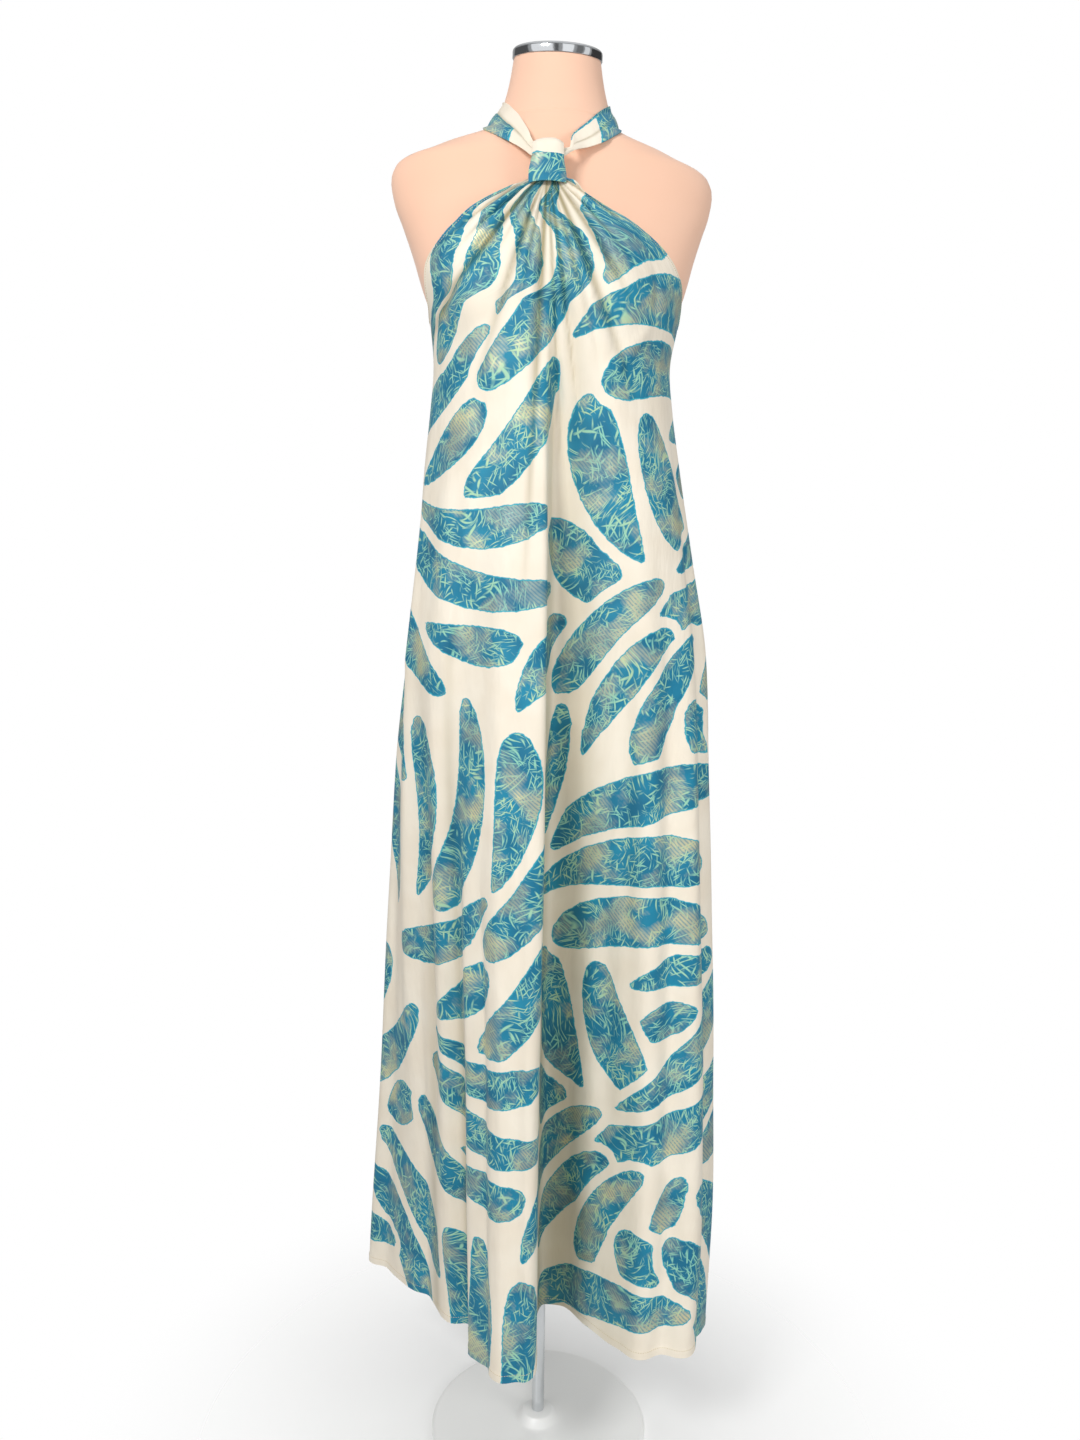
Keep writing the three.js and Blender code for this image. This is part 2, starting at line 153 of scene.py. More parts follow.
def measured(rows, x="x", y="y"):
    """The rows of a closed outline, each with how far along it lies."""
    run = 0
    made = []
    for i, row in enumerate(rows):
        if i > 0:
            run += math.hypot(row[x] - rows[i - 1][x], row[y] - rows[i - 1][y])
        made.append({**row, "run": run})
    return made


def mix(a, b, share):
    return a + (b - a) * share


def eased(low, high, value):
    """0 below low, 1 above high, and a soft step between."""
    t = np.clip((value - low) / (high - low), 0, 1)
    return t * t * (3 - 2 * t)


def signed_power(value, power):
    return np.sign(value) * np.abs(value) ** power


print("halfway up a soft step from 0 to 10:", float(eased(0, 10, 5)))


# %% [markdown]
# ## The shape of the dress
#
# A hanging skirt is a ruled shape: plain and close to an ellipse at the bust, and deep in folds at
# the hem. So two tables are enough, one for the plain sections by height and one for the outline of
# the hem, and every point in between is a blend of the two.

# %% The tables of the dress
DRESS = table("""
z left right front back
66 230 206 167 174
234 219 212 163 168
400 210 209 159 161
600 200 202 154 151
772 189 195 149 141
910 174 188 144 131
1023 162 172 139 118
1146 151 154 134 104
1200 145.5 146 132 101
1250 142 141 131 100
1300 146 149 131 102
1336 156 157 128 102
1366 161 161 122 102
1400 168 168 112 102
1440 178 178 100 102
1460 180 180 97 102
""")

FOLDS = table("""
angle x y start lift
-96 -228 112 900 0
-90 -236 84 900 0
-78 -199 50 900 0
-68 -164 12 900 0
-63 -146 4 900 0
-60 -136 -14 900 0
-55 -124 -36 900 0
-49 -108 -48 900 0
-43 -93 -58 900 0
-38 -87 -84 1000 4
-29 -70 -132 1150 2
-18 -44 -163 1300 0
-8 -18 -166 1330 2
-3 -4 -147 1340 6
-1 -5 -108 1340 8
1 -5 -62 1340 10
4 4 -28 1340 10
10 28 -24 1320 6
19 58 -54 1250 0
31 93 -93 1150 0
45 132 -114 1100 0
57 163 -113 1100 0
67 187 -99 1100 0
76 200 -72 1100 0
84 206 -35 1100 0
91 208 5 1100 0
102 204 45 1100 0
115 186 90 1100 2
128 155 122 1150 0
139 122 124 1150 4
152 85 152 1150 0
165 45 172 1150 0
176 12 154 1150 4
187 -22 156 1150 4
199 -62 174 1150 0
212 -102 160 1150 0
222 -130 138 1150 4
234 -165 146 1100 0
250 -203 138 1000 0
264 -228 112 900 0
""")
RIGHT_SEAM_ANGLE = 91
HEM_RUN = measured(FOLDS)
RIGHT_SEAM = next(row["run"] for row in HEM_RUN if row["angle"] == RIGHT_SEAM_ANGLE)
WHOLE_HEM = HEM_RUN[-1]["run"]

ARMHOLES = table("""
z left right
1300 -96 91
1306 -86 85
1318 -73.5 78
1336 -66.5 70
1355 -60 59.5
1372 -51 46
1387 -43.5 32
1400 -36 21
1412 -27.5 14
1423 -19 9
1432 -13 6.5
1440 -7.8 3
1460 -6.2 1.6
""")
print("the hem is", round(WHOLE_HEM), "mm round")

# %% [markdown]
# ## The form under the dress
#
# The form's sections are rounded rectangles that grow and shrink with height, with a soft fullness
# on each side of the chest. The dress needs the same numbers, because it may touch the form but
# never cut into it.

# %% The form's sections
FORM = table("""
z width depth centre square
860 148 93 6 2.4
900 154 101 8 2.4
950 151 100 8 2.3
1030 134 90 4 2.3
1100 118 80 -1 2.3
1150 119 81 -4 2.3
1220 130 90 -7 2.3
1260 136 98 -9 2.3
1300 142 103 -10 2.3
1340 156 103 -8 2.3
1380 168 98 -3 2.2
1415 180 91 3 2.1
1440 189 87 7 2
1465 193 84 8 2
1480 188 82 8 2
1486 181 81 8 2
1493 161 79 7 2
1501 140 77 6 2
1511 106 74 5 2
1520 82 70 3 2
1528 73 66 1 2
1545 65 60 -2 2
1560 60 57 -5 2
1580 55 54 -8 2
1603 51 51 -11 2
""")
BUST = {
    "angle": math.radians(38),
    "spread": math.radians(20),
    "z": 1302,
    "height": 46,
    "fullness": 0.075,
}
OPEN_BELOW = 30


def bust_fullness(angle, z):
    across = (np.abs(angle) - BUST["angle"]) / BUST["spread"]
    up = (z - BUST["z"]) / BUST["height"]
    return 1 + BUST["fullness"] * np.exp(-across**2 - up**2)


def turned_about_z(x, y, angle):
    return x * math.cos(angle) - y * math.sin(angle), x * math.sin(angle) + y * math.cos(angle)


def clear_of_form(x, y, z, gap, drop=0):
    """Moves points outwards until they are `gap` clear of the form."""
    height = np.maximum(z - drop, FORM_BOTTOM)
    width, depth, centre, square = (
        read(FORM, "z", column, height) for column in ("width", "depth", "centre", "square")
    )
    side, front = turned_about_z(x, y, -FORM_TURN)
    front = front - centre
    power = square / 2
    across = np.abs(side) / (width + gap)
    through = np.abs(front) / (depth + gap)
    angle = np.arctan2(np.sign(side) * across**power, -np.sign(front) * through**power)
    reach = np.maximum((across ** (2 * power) + through ** (2 * power)) ** (1 / (2 * power)), 1e-6)
    grow = np.maximum(bust_fullness(angle, height) / reach, 1)
    grow = np.where(z < FORM_BOTTOM - OPEN_BELOW, 1, grow)
    moved = turned_about_z(side * grow, front * grow + centre, FORM_TURN)
    return np.where(grow > 1, moved[0], x), np.where(grow > 1, moved[1], y)


print("the form is", round(2 * max(row["width"] for row in FORM)), "mm wide at the shoulders")

# %% [markdown]
# ## Gathers
#
# The gathered edge is drawn up inside the loop, so its pleats fan out like rays. On the real cloth
# each pleat is a soft roll between two sharp valleys, and one side of a valley is always steeper.
# The valleys are placed one by one, because a fan of equal ones looks like pleated paper.

# %% Gathers that fan out below the loop
GATHER_POINT = {"x": -8.5, "z": 1452, "closest": 0.5}
GATHER_RISE = 16
GATHER_REACH = 340
GATHERS_FROM = 12
FULL_GATHER = 42
LEAST_GATHER = 0.05
GATHERS_NARROW = (80, 135)
STEEP_SIDE = 0.4
VALLEY_ROUND = 0.8
PLEAT_AT_LOOP = 0.35
PLEAT_OPENS = 120
PLEAT_FADE = 0.8

# The angle is from straight down and positive to the right, and steep is the side that drops fast.
PLEATS = table("""
angle width depth reach steep
-63 4 8 110 -1
-56 6 12 200 1
-48 6 10 150 -1
-38 13 23 300 1
-28 7 8 130 -1
-18 11 15 270 1
-10 7 11 170 -1
-2.5 9 22 480 -1
3.2 6 16 430 1
8 7 17 340 -1
15 8 12 220 1
22 12 21 280 -1
33 10 19 190 1
42 6 11 160 -1
52 6 12 120 1
60 4 7 90 -1
""")


def from_loop(x, z):
    """Distance and direction from the point where the gathers meet."""
    side = x - GATHER_POINT["x"]
    down = np.maximum(GATHER_POINT["z"] - z, GATHER_POINT["closest"])
    return np.hypot(side, down), np.arctan2(side, down)


def valley(pleat, distance, angle):
    """How far aside of a pleat's valley each place lies, and how wide and deep the valley is there."""
    away = distance * np.sin(angle - math.radians(pleat["angle"]))
    width = pleat["width"] * mix(PLEAT_AT_LOOP, 1, np.clip(distance / PLEAT_OPENS, 0, 1))
    depth = pleat["depth"] * np.clip(1 - distance / pleat["reach"], 0, 1) ** PLEAT_FADE
    return away, width, depth


def gather_height(x, z):
    """How far the gathers lift the cloth at a place on the chest."""
    distance, angle = from_loop(x, z)
    room = np.clip((distance - GATHERS_FROM) / (FULL_GATHER - GATHERS_FROM), LEAST_GATHER, 1)
    room = room * (1 - eased(*GATHERS_NARROW, np.abs(x - GATHER_POINT["x"])))
    height = GATHER_RISE * np.clip(1 - distance / GATHER_REACH, 0, 1)
    for pleat in PLEATS:
        away, width, depth = valley(pleat, distance, angle)
        width = width * np.where(away * pleat["steep"] > 0, STEEP_SIDE, 1)
        rounded = np.hypot(away, VALLEY_ROUND) - VALLEY_ROUND
        height = height - depth * np.exp(-rounded / width)
    return np.maximum(height, -VALLEY_ROUND) * room


print(len(PLEATS), "pleats fan out over", GATHER_REACH, "mm")

# %% [markdown]
# Every place on the dress is a blend of a plain section and the folded outline of the hem. The form
# pushes the cloth out where they would meet, and the gathers lift the front last.

# %% Points on the dress


def fold_growth(start, z):
    """How fully a fold that starts at this height has opened, from 0 to 1 at the hem."""
    return np.clip((start - z) / (start - HEM), 0, 1) ** FOLD_GROWTH


def dress_points(run, z):
    """Points in the middle of the cloth, by place along the hem and by height."""
    place = {name: read(HEM_RUN, "run", name, run) for name in ("angle", "x", "y", "start", "lift")}
    size = {name: read(DRESS, "z", name, z) for name in ("left", "right", "front", "back")}
    hem = {name: DRESS[0][name] for name in size}
    growth = fold_growth(place["start"], z)
    first, last = ARMHOLES[0]["left"], ARMHOLES[0]["right"]
    left, right = (read(ARMHOLES, "z", side, z) for side in ("left", "right"))
    cut = mix(left, right, (place["angle"] - first) / (last - first))
    angle = np.where(z > UNDERARM, cut, place["angle"])
    on_left = (angle < 0) | (angle > 180)
    in_front = (np.abs(angle) < 90) | (angle > 270)
    turn = np.radians(angle)
    plain_x = np.where(on_left, size["left"], size["right"]) * signed_power(np.sin(turn), ROUNDNESS)
    plain_y = np.where(in_front, size["front"], size["back"]) * signed_power(-np.cos(turn), ROUNDNESS)
    shrink = {name: size[name] / hem[name] for name in size}
    fold_x = place["x"] * np.where(place["x"] < 0, shrink["left"], shrink["right"])
    fold_y = place["y"] * np.where(place["y"] < 0, shrink["front"], shrink["back"])
    lift = place["lift"] * np.clip((LIFT_TOP - z) / (LIFT_TOP - HEM), 0, 1)
    x = mix(plain_x, fold_x, growth)
    y = mix(plain_y, fold_y, growth)
    gathered = np.where(run < RIGHT_SEAM, gather_height(x, z), 0)
    x, y = clear_of_form(x, y, z + lift, DRAPE_GAP)
    return np.stack([x, y - gathered, z + lift], axis=-1)


sample = dress_points(np.array([RIGHT_SEAM / 2]), np.array([UNDERARM]))[0]
print("the middle of the front at the underarm:", np.round(sample), "mm")

# %% [markdown]
# ## The print
#
# The cloth is printed with groups of loose brush strokes, in a repeat of 64 cm. A stroke drawn by a
# shader alone would need its outline as numbers, so the print is worked out on the flat cloth
# instead: every vertex stores how far it lies from the nearest edge of a stroke, in millimetres.
# The shader then only compares that distance, which gives a clean edge at any size.
#
# Where two strokes would meet, the later one stops short of the earlier one, and the ground colour
# keeps a narrow channel between them, as a printer's resist does. A stroke that would be cut into
# pieces keeps only its longest one, which gets round ends of its own.

# %% The sprays of one repeat
REPEAT = 640.0
CHANNEL = 12.0
STROKE_STEPS = 13
STROKE_ROOM = 0.2
SHORTEST = 46.0
FINE_STEPS = 33
STAGGER = 0.07
LEANS = (0.6, 1.9)
BLUNTNESS = 0.38
SPRAYS = table("""
x y heading count pitch length width bend fan grow
120 130 75 4 64 270 50 52 6 -30
372 84 8 3 72 250 60 -58 8 36
548 165 112 3 70 280 56 56 -8 -26
300 285 62 4 60 260 46 -62 -7 22
90 395 -18 4 60 250 44 66 8 -30
500 395 28 4 66 285 52 60 6 24
300 515 118 3 74 245 62 -46 8 28
95 590 40 3 62 235 46 58 -8 -22
520 590 -8 3 58 240 42 -66 8 22
230 180 20 3 44 150 30 50 8 10
430 250 95 3 46 150 34 -40 8 -14
200 470 85 3 46 150 30 40 7 10
400 500 10 3 44 140 32 40 7 8
30 250 60 3 44 130 30 34 7 0
610 480 80 3 42 140 30 34 7 0
620 20 70 3 42 130 30 30 7 0
400 620 70 3 42 130 30 30 7 0
""")

print(len(SPRAYS), "sprays in a repeat of", REPEAT, "mm")

# %% [markdown]
# Each spray is a few strokes side by side, which fan out and grow or shrink from one to the next. A
# stroke is a bent line with a width along it. Its widest place lies nearer its start or its end, by
# turns, and its ends are blunt.

# %% Brush strokes


def stroke_distance(made, u, v):
    """Millimetres from the nearest stroke's edge, negative inside, and the same with channels cut."""
    covered = np.full(np.shape(u), REPEAT)
    printed = covered.copy()
    for x, y, radius in made:
        middle_x, middle_y = x.mean(), y.mean()
        px = (u - middle_x + REPEAT / 2) % REPEAT - REPEAT / 2
        py = (v - middle_y + REPEAT / 2) % REPEAT - REPEAT / 2
        best = np.full(np.shape(u), REPEAT)
        for k in range(len(x) - 1):
            ax, ay = x[k] - middle_x, y[k] - middle_y
            bx, by = x[k + 1] - x[k], y[k + 1] - y[k]
            t = np.clip(((px - ax) * bx + (py - ay) * by) / (bx * bx + by * by), 0, 1)
            away = np.hypot(px - ax - t * bx, py - ay - t * by)
            best = np.minimum(best, away - mix(radius[k], radius[k + 1], t))
        printed = np.minimum(printed, np.maximum(best, CHANNEL - covered))
        covered = np.minimum(covered, best)
    return covered, printed


def longest_run(free):
    """The first and last place of the longest unbroken stretch of True."""
    best, first = (0, -1), None
    for i, value in enumerate([*free, False]):
        if value and first is None:
            first = i
        elif not value and first is not None:
            best = max(best, (first, i - 1), key=lambda run: run[1] - run[0])
            first = None
    return best


def strokes():
    """The middle line and the half-width of each stroke, spray by spray."""
    made = []
    t = np.linspace(0, 1, FINE_STEPS)
    for spray in SPRAYS:
        along = math.radians(spray["heading"])
        for i in range(int(spray["count"])):
            off = i - (spray["count"] - 1) / 2
            length = spray["length"] + spray["grow"] * off
            heading = along + math.radians(spray["fan"]) * off + math.radians(spray["bend"]) * (t - 0.5)
            step = length / (FINE_STEPS - 1)
            x = np.concatenate([[0], np.cumsum(np.cos(heading[:-1]) * step)])
            y = np.concatenate([[0], np.cumsum(np.sin(heading[:-1]) * step)])
            slide = STAGGER * length * (-1) ** i
            aside = spray["pitch"] * off
            x += spray["x"] - x.mean() - aside * math.sin(along) + slide * math.cos(along)
            y += spray["y"] - y.mean() + aside * math.cos(along) + slide * math.sin(along)
            half = spray["width"] / 2
            first, last = longest_run(stroke_distance(made, x, y)[0] > CHANNEL + STROKE_ROOM * half)
            if (last - first) * step < SHORTEST:
                continue
            # Places crowd together at both ends, where the outline turns.
            share = 0.5 - 0.5 * np.cos(math.pi * np.linspace(0, 1, STROKE_STEPS))
            kept = first + share * (last - first)
            lean = share ** LEANS[i % 2]
            radius = half * (4 * lean * (1 - lean)) ** BLUNTNESS + 1
            x, y = (np.interp(kept, range(FINE_STEPS), line) for line in (x, y))
            made.append((x, y, radius))
    return made


STROKES = strokes()


def print_distance(u, v):
    return stroke_distance(STROKES, u, v)[1]


print(len(STROKES), "strokes in a repeat")

# %% [markdown]
# ## Materials
#
# One function adds a node with its settings and links. A MapRange node reads the range from input 1
# to 2 and gives the range from input 3 to 4, and a Mix node blends its colours 6 and 7 by input 0.
# Colours are written as the sRGB values that a paint chart gives, and turned into the linear values
# that the renderer works in.

# %% Helpers for materials


def colour(code):
    """A linear colour from an sRGB hex value."""
    parts = [int(code[i : i + 2], 16) / 255 for i in (1, 3, 5)]
    linear = [c / 12.92 if c <= 0.04045 else ((c + 0.055) / 1.055) ** 2.4 for c in parts]
    return (*linear, 1.0)


def adder(tree):
    """The function that adds nodes to one tree."""

    def node(kind, inputs=None, out=0, **settings):
        """Adds a node and gives one of its outputs. An input is a value or another node's output."""
        made = tree.nodes.new(kind if "Node" in kind else "ShaderNode" + kind)
        for name, value in settings.items():
            setattr(made, name, value)
        for name, value in (inputs or {}).items():
            if isinstance(value, bpy.types.NodeSocket):
                tree.links.new(value, made.inputs[name])
            else:
                made.inputs[name].default_value = value
        return made.outputs[out] if made.outputs else None

    return node


def new_material(name):
    material = bpy.data.materials.new(name)
    material.use_nodes = True
    material.node_tree.nodes.clear()
    return material, adder(material.node_tree)


print("a colour such as #808080 is", round(colour("#808080")[0], 3), "in linear values")

# %% [markdown]
# ### Printed crepe
#
# The cloth is a light crepe, woven from twisted yarn, so it has a fine pebbled face and a soft
# sheen. Its ground is cream. The strokes are teal, a little lighter where the printed edge thins
# out, with mint fibres laid across each other and worn patches of a grey-gold metallic ink.
#
# The fibres are the cells of a stretched Voronoi texture, which each hold one short thin blade. A few
# layers lie across each other. Each layer is strong in some places and missing in others, and a slow
# warp fans its blades out. The table holds each layer's turn in degrees, the shift of its pattern and
# the gap between its blades in millimetres.

# %% The printed fibres
FIBRES = table("""
turn shift gap
8 0 4.8
52 31 4.2
-30 67 4.6
84 93 4.2
-66 120 5
24 151 4
-8 203 5.6
120 240 4.4
""")
FIBRE_STRETCH = 11.0
FIBRE_WARP = 90.0
FIBRE_STRENGTH = 0.88


def fibre_ink(node, flat):
    """Where the mint fibres cover a stroke."""
    slow = node("TexNoise", {"Vector": flat, "Scale": 0.011, "Detail": 1.0}, "Color")
    pushed = node("VectorMath", {0: slow, "Scale": FIBRE_WARP}, operation="SCALE")
    warped = node("VectorMath", {0: flat, 1: pushed}, operation="ADD")
    fibres = 0.0
    for layer in FIBRES:
        shift, gap = layer["shift"], layer["gap"]
        laid = {
            "Vector": warped,
            "Location": (shift, shift, 0),
            "Rotation": (0, 0, math.radians(layer["turn"])),
            "Scale": (gap, gap * FIBRE_STRETCH, 1),
        }
        laid = node("Mapping", laid, vector_type="TEXTURE")
        cell = node("TexVoronoi", {"Vector": laid, "Scale": 1.0}, "Distance", voronoi_dimensions="2D")
        blade = node("MapRange", {0: cell, 1: 0.1, 2: 0.2, 3: 1.0, 4: 0.0})
        spot = node("TexNoise", {"Vector": flat, "Scale": 0.03 + 0.0001 * shift, "Detail": 1.0})
        here = node("MapRange", {0: spot, 1: 0.47, 2: 0.55})
        drawn = node("Math", {0: blade, 1: here}, operation="MULTIPLY")
        fibres = node("Math", {0: fibres, 1: drawn}, operation="MAXIMUM")
    return node("Math", {0: fibres, 1: FIBRE_STRENGTH}, operation="MULTIPLY")


print("the fibres lie in", len(FIBRES), "layers")

# %% [markdown]
# The metallic ink is printed through a screen, which leaves a fine slanting hatch, and it has worn
# off in patches.

# %% The metallic ink
HATCH_MM = 2.4
# A wave texture has one band in 0.314 of a unit at a scale of 1.
BAND = 0.314


def metal_ink(node, flat, solid):
    """Where the metallic ink covers a stroke, inside its solid edge."""
    patch = node("TexNoise", {"Vector": flat, "Scale": 0.021, "Detail": 4.0})
    worn = node("MapRange", {0: patch, 1: 0.49, 2: 0.64, 3: 0.0, 4: 1.0})
    hatch = {"Vector": flat, "Scale": BAND / HATCH_MM, "Distortion": 1.2, "Detail": 2.0}
    hatch = node("TexWave", hatch, "Fac", bands_direction="DIAGONAL")
    screen = node("MapRange", {0: hatch, 1: 0.15, 2: 0.7, 3: 0.45, 4: 1.0})
    metal = node("Math", {0: worn, 1: screen}, operation="MULTIPLY")
    return node("Math", {0: metal, 1: solid}, operation="MULTIPLY")


print("the bands of the screen's hatch are", HATCH_MM, "mm apart")

# %% [markdown]
# The yarns are about 0.35 mm apart. That is finer than a pixel here, so the pebbles are drawn 0.9 mm
# wide, and only the close view shows them. Under them lies a slow, shallow bump, drawn out up and
# down, for the slack that such a soft cloth always has.
#
# The brush leaves a slightly uneven edge, so a little noise is added to the distance from the edge.
# That tells where the stroke is, and where its ink is at full strength. The colours then lie one over
# the other. Then painted shade is multiplied in. It is a narrow line where pleats are pressed shut,
# which a single sheet can't fold over itself to show, and the shadow along the skirt's deep folds.
# Each vertex stores how deep in that painted shade it lies, and the shader darkens it.

# %% Make the printed crepe
PEBBLE_MM = 0.9
PIGMENTS = {
    "teal": ("#0C6C8E", "#1788A8"),
    "mint": ("#92D6BE", "#C0E2B0"),
    "foil": ("#8DA09C", "#DAD3A8"),
    "cream": ("#F0E5D2", "#F5ECDB"),
}
STROKE_EDGE = "#2AA9BE"
# The colour that the painted shade in folds and pleats darkens the cloth towards.
FOLD_SHADE = "#A9A387"


def printed_crepe():
    material, node = new_material("printed_crepe")
    uv = node("UVMap", uv_map="cloth")
    flat = node("VectorMath", {0: uv, "Scale": 1 / MM}, operation="SCALE")

    away = node("Attribute", out="Fac", attribute_name="print")
    brush = node("TexNoise", {"Vector": flat, "Scale": 0.16, "Detail": 3.0})
    uneven = node("Math", {0: brush, 1: 3.4, 2: -1.7}, operation="MULTIPLY_ADD")
    edge = node("Math", {0: away, 1: uneven}, operation="ADD")
    inked = node("MapRange", {0: edge, 1: -0.35, 2: 0.35, 3: 1.0, 4: 0.0})
    solid = node("MapRange", {0: edge, 1: -1.7, 2: -0.9, 3: 1.0, 4: 0.0})

    cloud = node("TexNoise", {"Vector": flat, "Scale": 0.018, "Detail": 2.0})
    depth = node("MapRange", {0: cloud, 1: 0.35, 2: 0.65})
    ink = {}
    for name, (dark, light) in PIGMENTS.items():
        tones = {0: depth, 6: colour(dark), 7: colour(light)}
        ink[name] = node("Mix", tones, 2, data_type="RGBA")
    metal = metal_ink(node, flat, solid)
    dyed_and_shaded = ink["teal"]
    for share, over in ((fibre_ink(node, flat), ink["mint"]), (metal, ink["foil"])):
        dyed_and_shaded = node("Mix", {0: share, 6: dyed_and_shaded, 7: over}, 2, data_type="RGBA")
    for share, under in ((solid, colour(STROKE_EDGE)), (inked, ink["cream"])):
        dyed_and_shaded = node("Mix", {0: share, 6: under, 7: dyed_and_shaded}, 2, data_type="RGBA")
    # Painted shade: the stored shade multiplies the printed colour darker in folds and pleats.
    shade = node("Attribute", out="Fac", attribute_name="shade")
    darker = {0: shade, 6: dyed_and_shaded, 7: colour(FOLD_SHADE)}
    dyed_and_shaded = node("Mix", darker, 2, data_type="RGBA", blend_type="MULTIPLY")

    drawn = node("Mapping", {"Vector": flat, "Scale": (1, 0.3, 1)}, vector_type="POINT")
    slack = node("TexNoise", {"Vector": drawn, "Scale": 0.045, "Detail": 3.0})
    soft = node("Bump", {"Height": slack, "Strength": 0.6, "Distance": 0.004})
    pebbles = node("TexNoise", {"Vector": flat, "Scale": 1 / PEBBLE_MM, "Detail": 2.0})
    face = {"Height": pebbles, "Strength": 0.35, "Distance": 0.0002, "Normal": soft}
    look = {
        "Base Color": dyed_and_shaded,
        "Roughness": node("MapRange", {0: metal, 3: 0.66, 4: 0.5}),
        "Metallic": node("Math", {0: metal, 1: 0.35}, operation="MULTIPLY"),
        "Normal": node("Bump", face),
        "Sheen Weight": 0.12,
        "Sheen Roughness": 0.4,
        "Specular IOR Level": 0.4,
    }
    node("OutputMaterial", {"Surface": node("BsdfPrincipled", look)})
    return material


CREPE = printed_crepe()
print("the crepe is printed with", ", ".join(PIGMENTS))

# %% [markdown]
# ### Jersey, thread, chrome and enamel
#
# The form's cover is a matt knitted jersey, with wales about 1 mm apart. The topstitching is twisted
# polyester thread, a little glossy along its length. Polished chrome needs almost nothing but a low
# roughness, with a faint waviness that breaks up its reflections. The base is a satin powder coat,
# whose skin has a very fine orange-peel.

# %% Make the other materials
WALE_MM = 1.1


def on_piece(name):
    """A new material, and the place on the piece that its textures are laid by."""
    material, node = new_material(name)
    return material, node, node("TexCoord", out="Object")


def mottled(node, place, scale, dark, light, detail=2.0):
    """A colour that drifts between two tones."""
    cloud = node("TexNoise", {"Vector": place, "Scale": scale, "Detail": detail})
    return node("Mix", {0: cloud, 6: colour(dark), 7: colour(light)}, 2, data_type="RGBA")


def jersey():
    material, node, place = on_piece("knitted_jersey")
    wales = {"Vector": place, "Scale": BAND / (WALE_MM * MM), "Distortion": 1.5, "Detail": 2.0}
    wales = node("TexWave", wales, "Fac", bands_direction="X")
    fuzz = node("TexNoise", {"Vector": place, "Scale": 900.0, "Detail": 2.0})
    relief = node("Math", {0: wales, 1: fuzz}, operation="ADD")
    look = {
        "Base Color": mottled(node, place, 9.0, "#F4C4A6", "#F8CCB2"),
        "Roughness": 0.85,
        "Normal": node("Bump", {"Height": relief, "Strength": 0.25, "Distance": 0.0002}),
        "Sheen Weight": 0.25,
        "Sheen Roughness": 0.5,
    }
    node("OutputMaterial", {"Surface": node("BsdfPrincipled", look)})
    return material


def thread():
    material, node, place = on_piece("polyester_thread")
    # The thread is drawn darker than the pale thread itself, so its tone is partly painted shade for the
    # groove the stitches press in.
    look = {"Base Color": mottled(node, place, 1500.0, "#C2B28C", "#DACCA8"), "Roughness": 0.45}
    node("OutputMaterial", {"Surface": node("BsdfPrincipled", look)})
    return material


def polished_chrome():
    material, node, place = on_piece("polished_chrome")
    waves = node("TexNoise", {"Vector": place, "Scale": 45.0, "Detail": 1.0})
    look = {
        "Base Color": colour("#D6D9DC"),
        "Metallic": 1.0,
        "Roughness": node("MapRange", {0: waves, 3: 0.06, 4: 0.16}),
        "Normal": node("Bump", {"Height": waves, "Strength": 0.15, "Distance": 0.0004}),
    }
    node("OutputMaterial", {"Surface": node("BsdfPrincipled", look)})
    return material


def satin_enamel():
    material, node, place = on_piece("powder_coated_steel")
    peel = node("TexNoise", {"Vector": place, "Scale": 700.0})
    look = {
        "Base Color": mottled(node, place, 14.0, "#F7F7F5", "#FCFCFA", detail=3.0),
        "Roughness": 0.38,
        "Normal": node("Bump", {"Height": peel, "Strength": 0.2, "Distance": 0.0001}),
    }
    node("OutputMaterial", {"Surface": node("BsdfPrincipled", look)})
    return material


JERSEY = jersey()
THREAD = thread()
CHROME = polished_chrome()
ENAMEL = satin_enamel()
print("materials:", [material.name for material in (CREPE, JERSEY, THREAD, CHROME, ENAMEL)])

# %% [markdown]
# ## Meshes from grids
#
# Every cloth piece here is a grid of points. The grid is given a thickness by hand rather than by a
# modifier, because the flat place of each point, its `cloth` UV, and its `print` distance have to be
# the same on both faces.

# %% Helpers for meshes
SHARP_EDGE = math.radians(48)


def place_mesh(name, points, faces, material):
    """A smooth object whose mesh is in metres, in the frame's own place."""
    mesh = bpy.data.meshes.new(name)
    mesh.from_pydata((np.asarray(points) * MM).tolist(), [], faces)
    mesh.materials.append(material)
    mesh.polygons.foreach_set("use_smooth", [True] * len(mesh.polygons))
    mesh.set_sharp_from_angle(angle=SHARP_EDGE)
    print(name, "has", len(mesh.polygons), "faces")
    return new_object(name, mesh)


def quads(a, b, c, d):
    return np.stack([a.ravel(), b.ravel(), c.ravel(), d.ravel()], axis=1)


def outward(grid):
    """The direction that a grid of points faces, at each point."""
    normal = np.cross(np.gradient(grid, axis=1), np.gradient(grid, axis=0))
    return normal / np.maximum(np.linalg.norm(normal, axis=-1, keepdims=True), 1e-9)


def lengths_along(steps, axis):
    """How far along each place lies, from the steps between the places."""
    start = np.zeros_like(np.take(steps, [0], axis=axis))
    return np.concatenate([start, np.cumsum(steps, axis=axis)], axis=axis)


